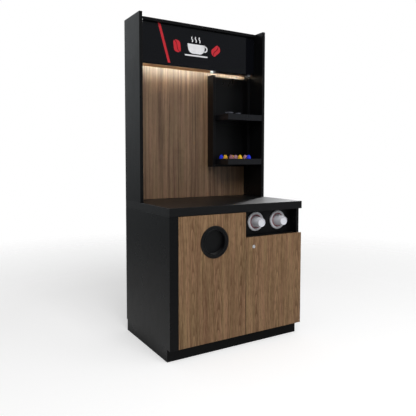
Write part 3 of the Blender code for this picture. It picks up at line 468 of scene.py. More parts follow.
def make_walnut(name, light, dark, grain_kind, specular, shift, turn=(0.0, 0.0, 0.0)):
    """Walnut decor with its own cut of the figure, darker on the board's edges, and darkest on faces turned
    to ±X as painted shade in gaps such as the one between the doors.
    """
    finish = Finish(name, Specular_IOR_Level=specular)
    mapping = finish.add("Mapping", {"Vector": finish.place, "Location": shift, "Rotation": turn})["Vector"]
    grain = finish.effect("Walnut Grain", Vector=mapping, Light=rgba(light), Dark=rgba(dark), **grain_kind)
    facing = finish.split(finish.add("TexCoord")["Normal"])
    edges = finish.ramp(finish.calc("ABSOLUTE", facing["Y"]), 0.55, 0.35, 0.0, 0.45)
    # painted shade: faces turned to ±X, like the door edges at the meeting gap, are darkened to stand for the
    # shade in the gap
    painted_gap_shade = finish.ramp(finish.calc("ABSOLUTE", facing["X"]), 0.10, 0.40)
    finish.tone = grain["Color"]
    finish.cover(edges, rgba(dark)).rub(light, radius=0.0012, strength=0.15).cover(painted_gap_shade, rgba(dark, 0.12))
    finish.plug("Roughness", grain["Roughness"]).emboss(grain["Height"], 0.00012, 0.8)


def make_plastic(name, base, low, high, scale, depth, wear_tone=1.8, dust=0.0):
    """Moulded plastic with a fine spark-eroded texture."""
    worn = [min(1.0, part * wear_tone) for part in base]
    finish = Finish(name).mottle(base, dim=0.90, scale=18.0)
    finish.dust(dust).rub(worn, radius=0.0010, strength=0.45)
    finish.smudge(16.0, low, high).emboss_pebble(scale, depth)


def make_sign_board(base):
    """Glossy black board with faint waviness and a little dust."""
    finish = Finish("sign_black", rgba(base), Specular_IOR_Level=0.45).dust(0.12)
    finish.smudge(6.0, 0.03, 0.06).emboss_noise(7.0, 2.0, 0.0002, 0.05)


def make_vinyl(name, base):
    """Cut vinyl film: nearly even, with a faint orange-peel surface."""
    finish = Finish(name).mottle(base, dim=0.88, scale=35.0)
    finish.smudge(20.0, 0.30, 0.42).emboss_noise(420.0, 2.0, 0.00004)


def make_metal(name, base, low, high):
    """Plated metal with fine brushing."""
    finish = Finish(name, Metallic=0.4).mottle(base, dim=0.82, scale=90.0)
    brushed = finish.effect("Brushed", Low=low, High=high)
    finish.plug("Roughness", brushed["Roughness"]).emboss(brushed["Height"], 0.00003, 0.6)


def make_diffuser(name, tint, strength, start, end, start_share, end_share):
    """Opal strip lit from behind by a row of small lamps, its light changing between two places along X."""
    finish = Finish(name, Roughness=0.45, Base_Color=OPAL_TONE, Emission_Strength=strength)
    inputs = {"Vector": finish.place, "Scale": 19.0}
    row = finish.add("TexWave", inputs, bands_direction="X", wave_profile="SIN")["Fac"]
    lamps = finish.blend(row, rgba(tint, 0.82), rgba(tint))
    level = finish.ramp(finish.split(finish.place)["X"], start, end, start_share, end_share)
    glow = finish.add("VectorMath", {0: lamps, "Scale": level}, operation="SCALE")["Vector"]
    finish.plug("Emission Color", glow)


def make_paper(base):
    """Coated cup paper with faint fibres."""
    finish = Finish("cup_paper", Specular_IOR_Level=0.35)
    finish.mottle(base, dim=0.93, scale=160.0, detail=4.0, roughness=0.65, low=0.35, high=0.65)
    finish.smudge(30.0, 0.42, 0.55).emboss_noise(1400.0, 3.0, 0.00005)


def make_glaze(base):
    """Stoneware with small specks, set to a mid grey darker than pale stoneware: painted shade of the shelf
    box it stands in.
    """
    finish = Finish("dish_stoneware", Coat_Weight=0.4, Coat_Roughness=0.08).mottle(base, dim=0.86, scale=60.0)
    specks = finish.ramp(finish.noise(finish.place, 900.0, 1.0), 0.70, 0.76)
    finish.cover(specks, SPECK_TONE).smudge(40.0, 0.16, 0.28)


def make_foil(name, base):
    """Lacquered aluminium foil with fine drawing creases."""
    finish = Finish("foil_" + name, Metallic=0.12).mottle(base, dim=0.80, scale=220.0)
    finish.smudge(60.0, 0.24, 0.38).emboss_noise(500.0, 3.0, 0.00015, 0.6)


def make_rubber(base):
    """Soft rubber with a dull bloom."""
    finish = Finish("red_rubber", rgba(base))
    bloom = finish.ramp(finish.noise(finish.place, 120.0, 4.0), 0.35, 0.7)
    finish.cover(bloom, rgba([part * 0.75 + 0.03 for part in base]))
    finish.smudge(40.0, 0.50, 0.65).emboss_noise(1100.0, 2.0, 0.00005)


class STATION_OT_finishes(bpy.types.Operator):
    """Make the shared shader groups and every finish"""

    bl_idname = "station.finishes"
    bl_label = "Finishes"

    def execute(self, context):
        look = settings().finish
        make_pebble_effect()
        make_smudge_effect()
        make_edge_wear_effect()
        make_dust_and_highlight_effect()
        make_walnut_effect()
        make_brush_effect()
        self.make_board_finishes(look)
        make_sign_board(look.sign_black)
        make_vinyl("vinyl_red", look.sign_red)
        make_vinyl("vinyl_white", look.sign_white)
        self.make_plastics(look)
        make_metal("hinge_steel", STEEL_TONE, 0.24, 0.38)
        make_metal("lock_nickel", NICKEL_TONE, 0.20, 0.32)
        self.make_diffusers(look)
        make_paper(look.paper)
        make_glaze(look.glaze)
        make_rubber(look.gasket)
        for foil in CAPSULE_FOILS:
            make_foil(foil, getattr(look, foil))
        return {"FINISHED"}

    def make_board_finishes(self, look):
        worn = look.laminate_worn
        board_gloss = (0.26, 0.36, look.laminate_specular)
        worktop_gloss = (0.40, 0.46, look.worktop_specular)
        make_laminate("black_laminate", look.laminate, worn, *board_gloss, 0.10, 0.00006)
        make_laminate("shelf_laminate", look.shelf_laminate, worn, *board_gloss, 0.02, 0.00006)
        make_laminate("worktop_laminate", look.laminate, worn, *worktop_gloss, 0.02, 0.00001)
        door = (look.door_light, look.door_dark, LIVELY_GRAIN, 0.30)
        wall = (look.wall_light, look.wall_dark, STRAIGHT_GRAIN, 0.65)
        soffit = (look.soffit_light, look.soffit_lit_dark_tone, STRAIGHT_GRAIN, 0.0)
        make_walnut("walnut_left_door", *door, (0.0, 0.0, 0.0))
        make_walnut("walnut_right_door", *door, (0.9, 0.3, 1.7))
        make_walnut("walnut_wall", *wall, (2.3, 0.0, 0.4))
        # a lit copy of the wall's walnut: painted light on the soffit's underside
        make_walnut("walnut_soffit", *soffit, (0.0, 0.7, 3.1), GRAIN_ALONG_X)

    def make_plastics(self, look):
        """Each with its least and greatest roughness, and its texture's scale and depth."""
        make_plastic("black_plastic", look.plastic, 0.30, 0.42, 1300.0, 0.00005)
        # painted highlight: the bezel's up-facing bead and sleeve are lightened to stand for light falling
        # from above
        make_plastic("bezel_plastic", look.plastic, 0.30, 0.42, 1300.0, 0.00005, dust=0.9)
        make_plastic("pale_plastic", look.flange, 0.28, 0.40, 1600.0, 0.00003, 1.1)
        make_plastic("cap_plastic", look.bar_caps, 0.35, 0.45, 1400.0, 0.00003, 1.05)
        make_plastic("bin_grey", look.bin_grey, 0.42, 0.55, 700.0, 0.00012)
        make_plastic("channel_aluminium", look.plastic, 0.45, 0.55, 1500.0, 0.00002)

    def make_diffusers(self, look):
        """The hidden strip ends where the light bar starts, and the bar is brightest over its right cap."""
        tint = look.light_colour
        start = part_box("light_bar_end_left")[0].x
        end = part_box("light_bar_end_right")[0].x
        make_diffuser("diffuser_opal", tint, look.light_strength, start - 0.004, start, 1.0, 0.0)
        make_diffuser("bar_lens", tint, look.bar_strength, end - 0.02, end + 0.02, 1.0, 3.2)


# Meshes


def dress(finish, *nodes):
    """Gives solids of the frame a finish."""
    for name in nodes:
        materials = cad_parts[name].data.materials
        materials.clear()
        materials.append(finish_named(finish))


def measure(node_name):
    """A solid's lowest and highest corners, its middle, and half its width."""
    low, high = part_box(node_name)
    return low, high, (low + high) / 2, (high.x - low.x) / 2


def new_object(name, bm, material):
    """Puts a mesh into the scene under a name."""
    mesh = bpy.data.meshes.new(name)
    bm.to_mesh(mesh)
    bm.free()
    mesh.materials.append(material)
    obj = bpy.data.objects.new(name, mesh)
    bpy.context.scene.collection.objects.link(obj)
    return obj


def piece(name, bm, finish, body, replaces=()):
    """Makes a mesh a piece of the station that moves with a body and may stand for solids of the frame."""
    obj = new_object(name, bm, finish_named(finish))
    obj.data.polygons.foreach_set("use_smooth", [True] * len(obj.data.polygons))
    obj.data.set_sharp_from_angle(angle=SMOOTH_ANGLE)
    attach(obj, body)
    if replaces:
        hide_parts(*replaces)


def move(bm, matrix):
    bmesh.ops.transform(bm, matrix=matrix, verts=bm.verts)


def merge_into(bm, part, matrix=UPRIGHT):
    """Adds a finished part to a mesh, in its place."""
    move(part, matrix)
    mesh = bpy.data.meshes.new("part")
    part.to_mesh(mesh)
    part.free()
    bm.from_mesh(mesh)
    bpy.data.meshes.remove(mesh)


def new_verts(made):
    """The vertices that an extrusion made."""
    return [item for item in made["geom"] if isinstance(item, bmesh.types.BMVert)]


def arc(centre, radius, start, end, count, squash=1.0):
    """Points of a profile on an arc, both ends included."""
    points = []
    for i in range(count + 1):
        angle = math.radians(start + (end - start) * i / count)
        points.append((centre[0] + radius * math.cos(angle), centre[1] + radius * squash * math.sin(angle)))
    return points


def spin(bm, geom, angle, steps, axis=(0.0, 0.0, 1.0), full=False):
    """Turns points, edges or faces about an axis through the origin."""
    bmesh.ops.spin(
        bm, geom=geom, cent=(0.0, 0.0, 0.0), axis=axis, angle=angle, steps=steps, use_merge=full
    )


def turned(profile, steps=FINE_STEPS, matrix=UPRIGHT, closed=False):
    """A piece turned about local Z from (radius, height) points."""
    bm = bmesh.new()
    points = [bm.verts.new((radius, 0.0, height)) for radius, height in profile]
    edges = [bm.edges.new(pair) for pair in zip(points, points[1:])]
    if closed:
        edges.append(bm.edges.new((points[-1], points[0])))
    spin(bm, points + edges, math.tau, steps, full=True)
    bmesh.ops.remove_doubles(bm, verts=bm.verts, dist=SAME_PLACE)
    bmesh.ops.recalc_face_normals(bm, faces=bm.faces)
    move(bm, matrix)
    return bm


def swept(outline, angle, steps, **spin_settings):
    """A closed strip swept from a flat outline about an axis through the origin."""
    bm = bmesh.new()
    face = bm.faces.new([bm.verts.new(point) for point in outline])
    spin(bm, [face], angle, steps, **spin_settings)
    bmesh.ops.recalc_face_normals(bm, faces=bm.faces)
    return bm


def round_edges(bm, edges, width, segments):
    bmesh.ops.bevel(
        bm,
        geom=edges,
        offset=width,
        segments=segments,
        profile=0.5,
        affect="EDGES",
        clamp_overlap=True,
        material=-1,
    )


def soften(bm, width, segments=3, sharper_than=30):
    """Rounds the sharp edges of a mesh."""
    limit = math.radians(sharper_than)
    sharp = [e for e in bm.edges if e.is_manifold and e.calc_face_angle(0.0) > limit]
    round_edges(bm, sharp, width, segments)


def block(low, high, rounding, segments=3):
    """A box between two corners with rounded edges."""
    low = Vector(low)
    high = Vector(high)
    bm = bmesh.new()
    place = Matrix.Translation((low + high) / 2) @ Matrix.Diagonal((*(high - low), 1.0))
    bmesh.ops.create_cube(bm, size=1.0, matrix=place)
    if rounding:
        soften(bm, rounding, segments)
    return bm


def ring_edges(verts):
    """The edges of a loop of vertices."""
    inside = set(verts)
    return list({e for v in verts for e in v.link_edges if e.other_vert(v) in inside})


def outline_loop(bm, points, height):
    """A closed loop of vertices and edges at a height."""
    verts = [bm.verts.new((x, y, height)) for x, y in points]
    for i, vert in enumerate(verts):
        bm.edges.new((verts[i - 1], vert))
    return verts


def cross_outline(reach, width):
    """The outline of a cross recess."""
    half = width / 2
    corner = [(reach, -half), (reach, half), (half, half)]
    points = []
    for turn in range(4):
        quarter = Matrix.Rotation(math.radians(90) * turn, 2)
        points += [tuple(quarter @ Vector(p)) for p in corner]
    return points


def circle_outline(radius, count):
    angles = [math.tau * i / count for i in range(count)]
    return [(radius * math.cos(angle), radius * math.sin(angle)) for angle in angles]


def recessed_head(radius, height, recess, depth, edge, steps=24):
    """A round head about local Z with a recess of a given outline sunk into its top."""
    bm = bmesh.new()
    soft = edge * 0.3
    rings = [(radius, 0.0), (radius, height - edge), (radius - soft, height - soft), (radius - edge, height)]
    loops = [outline_loop(bm, circle_outline(ring, steps), level) for ring, level in rings]
    loops += [outline_loop(bm, recess, level) for level in (height, height - depth)]
    for first, second in zip(loops, loops[1:]):
        bmesh.ops.bridge_loops(bm, edges=ring_edges(first) + ring_edges(second))
    bmesh.ops.contextual_create(bm, geom=ring_edges(loops[0]))
    bmesh.ops.contextual_create(bm, geom=ring_edges(loops[-1]))
    bmesh.ops.recalc_face_normals(bm, faces=bm.faces)
    return bm


def add_screws(bm, places, facing, radius):
    """Cross-head screws at several places, all facing one way."""
    height = radius * 0.45
    depth = radius * 0.35
    edge = radius * 0.4
    cross = cross_outline(reach=radius * 0.62, width=radius * 0.24)
    for place in places:
        head = recessed_head(radius, height, cross, depth, edge)
        merge_into(bm, head, Matrix.Translation(place) @ facing)


class STATION_OT_boards(bpy.types.Operator):
    """Finish the boards of the cupboard, the back wall and the shelf box"""

    bl_idname = "station.boards"
    bl_label = "Boards"

    BOARDS = {
        "worktop_laminate": "countertop",
        "black_laminate": "base_side_left base_side_right base_bottom base_rear_sheet base_partition"
        " niche_floor niche_back plinth_front plinth_left plinth_right"
        " hutch_side_left hutch_side_right hutch_roof shelf_box_left shelf_box_right shelf_box_back",
        "shelf_laminate": "shelf_upper shelf_lower",
        "walnut_wall": "hutch_wall_panel",
        "walnut_soffit": "header_soffit",
        "walnut_left_door": "door_left",
        "walnut_right_door": "door_right",
    }
    # piece, panel, spaces between the screws up an edge
    REAR_SCREWS = (
        ("rear_screws_cupboard", "base_rear_sheet", 4),
        ("rear_screws_wall", "hutch_wall_panel", 6),
    )

    def execute(self, context):
        for finish, names in self.BOARDS.items():
            dress(finish, *names.split())
        for name, panel, spaces in self.REAR_SCREWS:
            self.add_rear_screws(name, panel, spaces)
        return {"FINISHED"}

    def add_rear_screws(self, name, panel, spaces):
        """Screws round the edges of a rear panel."""
        low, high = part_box(panel)
        margin = 0.012
        spaces_across = 4
        places = []
        for i in range(spaces + 1):
            z = low.z + margin + (high.z - low.z - 2 * margin) * i / spaces
            places += [(low.x + margin, high.y, z), (high.x - margin, high.y, z)]
        for i in range(1, spaces_across):
            x = low.x + (high.x - low.x) * i / spaces_across
            places += [(x, high.y, low.z + margin), (x, high.y, high.z - margin)]
        bm = bmesh.new()
        add_screws(bm, places, FACING_BACK, settings().detail.screw_radius)
        piece(name, bm, "hinge_steel", "station")


class STATION_OT_hinges(bpy.types.Operator):
    """Finish the concealed hinges and add their screws"""

    bl_idname = "station.hinges"
    bl_label = "Hinges"

    PLATE_TOP = 0.0085  # from the side panel
    ARM_TOP = 0.0177
    PLATE_SCREWS = 0.030  # from the rear end of the arm
    ARM_SCREWS = (0.012, 0.040)
    CUP_MARGIN = 1.9  # from an end to the screw, in screw radii
    PLATE_MARGIN = 1.8

    def execute(self, context):
        for side, inwards, facing in (("left", 1, FACING_RIGHT), ("right", -1, FACING_LEFT)):
            cup_screws = bmesh.new()
            arm_screws = bmesh.new()
            for level in HINGE_LEVELS:
                self.add_cup_screws(cup_screws, f"hinge_cup_{side}_{level}")
                self.add_arm_screws(arm_screws, f"hinge_arm_{side}_{level}", inwards, facing)
            piece(f"hinge_cup_screws_{side}", cup_screws, "lock_nickel", side + "_door")
            piece(f"hinge_arm_screws_{side}", arm_screws, "lock_nickel", "station")
        return {"FINISHED"}

    def add_cup_screws(self, bm, cup):
        dress("hinge_steel", cup)
        radius = settings().detail.screw_radius
        low, high, centre, _ = measure(cup)
        reach = (high.z - low.z) / 2 - radius * self.CUP_MARGIN
        places = [(centre.x, high.y, centre.z + sign * reach) for sign in (-1, 1)]
        add_screws(bm, places, FACING_BACK, radius)

    def add_arm_screws(self, bm, arm, inwards, facing):
        dress("hinge_steel", arm)
        radius = settings().detail.screw_radius
        low, high, centre, _ = measure(arm)
        seat = low.x if inwards > 0 else high.x
        reach = (high.z - low.z) / 2 - radius * self.PLATE_MARGIN
        plate = (seat + inwards * self.PLATE_TOP, high.y - self.PLATE_SCREWS)
        places = [(*plate, centre.z + sign * reach) for sign in (-1, 1)]
        places += [(seat + inwards * self.ARM_TOP, high.y - back, centre.z) for back in self.ARM_SCREWS]
        add_screws(bm, places, facing, radius)


class STATION_OT_waste_hatch(bpy.types.Operator):
    """Turn the hatch's bezel and flap finely, and finish its pin"""

    bl_idname = "station.waste_hatch"
    bl_label = "Waste hatch"

    # how far a lug reaches from the hatch's middle, the sleeve's end and the pin's middle
    LUG_ABOVE_MIDDLE = 0.0695
    LUG_ON_SLEEVE = 0.007
    LUG_BEHIND_PIN = 0.005
    LUG_ABOVE_PIN = 0.0055
    BEAD_LEVEL = 0.72  # middle of the inner bead, as a share of the groove's level

    def execute(self, context):
        self.make_bezel()
        self.make_flap()
        dress("hinge_steel", "waste_flap_pin")
        return {"FINISHED"}

    def centre(self):
        """The middle of the hatch on the door's face, and the bezel's radius."""
        low, _, middle, radius = measure("waste_bezel")
        return Vector((middle.x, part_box("door_left")[0].y, low.z + radius)), radius

    def make_bezel(self):
        """Two beads with a groove between them, a sleeve through the door, and the lugs for the pin."""
        detail = settings().detail
        centre, radius = self.centre()
        proud = centre.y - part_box("waste_bezel")[0].y
        sleeve_end = centre.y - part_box("waste_flap")[0].y + TOUCH
        bore = 0.071
        sleeve = bore + 0.0055
        step = bore + detail.bezel_inner_bead
        groove = proud - detail.bezel_groove
        half = (radius - step) / 2
        profile = arc(((bore + step) / 2, groove * self.BEAD_LEVEL), (step - bore) / 2, 180, 30, 8)
        profile += arc(((radius + step) / 2, TOUCH), half, 150, 0, 20, (proud - TOUCH) / half)
        profile += [(sleeve, TOUCH), (sleeve, sleeve_end), (bore, sleeve_end)]
        bm = turned(profile, FINE_STEPS, Matrix.Translation(centre) @ FACING_FRONT, closed=True)
        _, _, pin, pin_half = measure("waste_flap_pin")
        pin_end = 0.001
        thick = 0.006
        lug_front = centre.y - sleeve_end - self.LUG_ON_SLEEVE
        for sign in (-1, 1):
            far = pin.x + sign * (pin_half - pin_end)
            near = far - sign * thick
            low = (min(near, far), lug_front, centre.z + self.LUG_ABOVE_MIDDLE)
            high = (max(near, far), pin.y + self.LUG_BEHIND_PIN, pin.z + self.LUG_ABOVE_PIN)
            merge_into(bm, block(low, high, rounding=0.0012, segments=2))
        piece("waste_bezel_ring", bm, "bezel_plastic", "left_door", ["waste_bezel"])

    def make_flap(self):
        """A dished disc with a neck up to the barrel that turns on the pin."""
        centre, _ = self.centre()
        low, _, _, radius = measure("waste_flap")
        thick = 0.0035
        dish = 0.0015
        rim = 0.006
        slope = radius - 2 * rim
        front = centre.y - low.y
        back = front - thick
        profile = [(0.0, front - dish), (slope, front - dish), (radius - rim, front), (radius, front)]
        profile += [(radius, back), (radius - rim, back), (slope, back - dish), (0.0, back - dish)]
        bm = turned(profile)
        soften(bm, 0.0004, segments=2, sharper_than=20)
        move(bm, Matrix.Translation(centre) @ FACING_FRONT)
        pin = measure("waste_flap_pin")[2]
        neck = 0.016
        inset = 0.0008
        neck_low = (pin.x - neck, low.y + inset, centre.z + radius - rim)
        neck_high = (pin.x + neck, low.y + thick - inset, pin.z)
        merge_into(bm, block(neck_low, neck_high, rounding=0.0005, segments=2))
        bore = 0.0023
        outer = 0.0048
        reach = 0.0297
        profile = [(bore, -reach), (outer, -reach), (outer, reach), (bore, reach)]
        barrel = turned(profile, SMALL_STEPS, closed=True)
        soften(barrel, 0.0004, segments=2)
        merge_into(bm, barrel, Matrix.Translation(pin) @ FACING_RIGHT)
        piece("waste_flap_disc", bm, "black_plastic", "waste_flap", ["waste_flap"])


class STATION_OT_bin(bpy.types.Operator):
    """Mould the waste bin with round corners and a rolled lip"""

    bl_idname = "station.bin"
    bl_label = "Waste bin"

    def execute(self, context):
        low, high, centre, _ = measure("waste_bin")
        wall = 0.0025
        lip = 0.010
        taper = 0.018
        size = high - low
        width = size.x - 2 * (lip + wall)
        depth = size.y - 2 * (lip + wall)
        height = size.z - 2 * wall
        bm = bmesh.new()
        bmesh.ops.create_cube(bm, size=1.0, matrix=Matrix.Diagonal((width, depth, height, 1.0)))
        foot = [v for v in bm.verts if v.co.z < 0]
        narrow = Matrix.Diagonal((1 - 2 * taper / width, 1 - 2 * taper / depth, 1.0, 1.0))
        bmesh.ops.transform(bm, matrix=narrow, verts=foot)
        upright = [e for e in bm.edges if abs(e.verts[0].co.z - e.verts[1].co.z) > height / 2]
        round_edges(bm, upright, width=0.035, segments=10)
        bmesh.ops.delete(bm, geom=[f for f in bm.faces if f.normal.z > 0.9], context="FACES_ONLY")
        near_floor = -height / 2 + 0.001
        floor_edges = [e for e in bm.edges if max(v.co.z for v in e.verts) < near_floor]
        round_edges(bm, floor_edges, width=0.008, segments=4)
        lip_steps = ((lip / 2, 0.0), (lip / 2, -0.0015), (0.0, -0.0085))
        for out, up in lip_steps:
            made = bmesh.ops.extrude_edge_only(bm, edges=[e for e in bm.edges if e.is_boundary])
            for vert in new_verts(made):
                vert.co.x += math.copysign(out, vert.co.x)
                vert.co.y += math.copysign(out, vert.co.y)
                vert.co.z += up
        bmesh.ops.recalc_face_normals(bm, faces=bm.faces)
        bmesh.ops.solidify(bm, geom=bm.faces[:], thickness=wall)
        bmesh.ops.translate(bm, vec=centre, verts=bm.verts)
        piece("waste_bin_shell", bm, "bin_grey", "station", ["waste_bin"])
        return {"FINISHED"}


class STATION_OT_lock(bpy.types.Operator):
    """Turn the cam lock with its key slot"""

    bl_idname = "station.lock"
    bl_label = "Cam lock"

    def execute(self, context):
        low, high, middle, radius = measure("lock_housing")
        plug_low, plug_high, _, plug_radius = measure("lock_plug")
        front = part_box("door_right")[0].y
        place = Matrix.Translation((middle.x, front, middle.z)) @ FACING_FRONT
        proud = front - low.y
        rear = front - high.y
        bore = plug_radius + TOUCH
        body = 0.0095
        rim = 0.0016
        edge = 0.0004
        housing = [(bore, proud - edge), (bore + edge, proud)]
        housing += arc((radius - rim, proud - rim), rim, 90, 0, 6)
        housing += [(radius, TOUCH), (body, TOUCH), (body, rear), (bore, rear)]
        bm = turned(housing, SMALL_STEPS, place, closed=True)
        piece("lock_housing_turned", bm, "lock_nickel", "right_door", ["lock_housing"])
        tail = plug_high.y - front
        plug_length = front - plug_low.y + tail
        wide = 0.0007
        tall = 0.0035
        slot = [(wide, -tall), (wide, tall), (-wide, tall), (-wide, -tall)]
        plug = recessed_head(plug_radius, plug_length, slot, depth=0.004, edge=edge, steps=SMALL_STEPS)
        bmesh.ops.translate(plug, vec=(0.0, 0.0, -tail), verts=plug.verts)
        move(plug, place)
        piece("lock_plug_turned", plug, "lock_nickel", "lock", ["lock_plug"])
        dress("hinge_steel", "lock_cam")
        return {"FINISHED"}


class STATION_OT_dispensers(bpy.types.Operator):
    """Turn the dispensers' flanges, seals and the front cups"""

    bl_idname = "station.dispensers"
    bl_label = "Cup dispensers"

    def execute(self, context):
        for side in SIDES:
            self.make_flange(f"dispenser_flange_{side}", f"dispenser_gasket_{side}")
            self.make_cup(f"cup_{side}")
            dress("black_plastic", f"dispenser_tube_{side}")
        return {"FINISHED"}

    def make_flange(self, name, seal_name):
        """A rounded flange with the soft seal in its seat."""
        low, _, centre, radius = measure(name)
        seal_low, seal_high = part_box(seal_name)
        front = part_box("niche_back")[0].y
        place = Matrix.Translation((centre.x, front, centre.z)) @ FACING_FRONT
        depth = front - low.y
        rear = front - seal_high.y
        face = front - seal_low.y
        bore = 0.0455
        seat = 0.0412
        back = rear - TOUCH
        outer_round = 0.006
        bore_round = 0.003
        profile = arc((radius - outer_round, depth - outer_round), outer_round, 95, 0, 8)
        profile += [(radius, TOUCH), (seat, TOUCH), (seat, back), (bore, back)]
        profile += arc((bore + bore_round, depth - bore_round), bore_round, 180, 90, 5)
        bm = turned(profile, FINE_STEPS, place, closed=True)
        piece(name + "_turned", bm, "pale_plastic", "station", [name])
        inner = 0.0398
        lip = 0.0018
        profile = [(bore - TOUCH, rear), (inner, rear)]
        profile += arc((inner + lip, face - lip), lip, 180, 60, 6)
        profile += [(bore - TOUCH, face)]
        seal = turned(profile, FINE_STEPS, place, closed=True)
        piece(seal_name + "_turned", seal, "red_rubber", "station", [seal_name])

    def make_cup(self, name):
        """A paper cup, foot to the front, with a recessed foot, a rolled rim and a lapped side seam."""
        low, high, centre, rim = measure(name)
        tall = high.y - low.y
        foot = 0.0272
        mouth = 0.0382
        wall = 0.0010
        recess = 0.006
        edge = 0.0004
        slope = (mouth - foot) / tall
        roll = (rim - mouth) / 2 + wall / 2
        skirt = foot - wall + slope * recess
        # the wall swells a little between the foot and the mouth
        side_wall = [(foot, -edge), (foot + 0.0020, -0.012)]
        side_wall += [(mouth - 0.0008, -0.060), (mouth, -tall + 2 * roll)]
        profile = [(0.0, -recess), (skirt - 0.0012, -recess), (skirt, -recess + 0.0010)]
        profile += [(foot - wall, -edge), (foot - wall * 0.5, 0.0)]
        profile += side_wall
        profile += arc((rim - roll, -tall + roll), roll, 80, -180, 10)
        profile += [(foot - wall + slope * (recess + wall), -recess - wall), (0.0, -recess - wall)]
        bm = turned(profile)
        self.add_seam(bm, side_wall)
        move(bm, Matrix.Translation((centre.x, low.y, centre.z)) @ FACING_FRONT)
        piece(name + "_paper", bm, "cup_paper", name, [name])

    def add_seam(self, bm, side_wall):
        """The lapped edge of the cup's wall: a thin strip along its upper left side."""
        lap = 0.00035
        upper_left = Matrix.Rotation(math.radians(115), 4, "Z")
        outer = [(radius + lap, 0.0, height) for radius, height in side_wall]
        inner = [(radius - lap, 0.0, height) for radius, height in side_wall]
        angle = settings().detail.cup_seam / side_wall[-1][0]
        merge_into(bm, swept(outer + inner[::-1], angle, steps=4), upper_left)


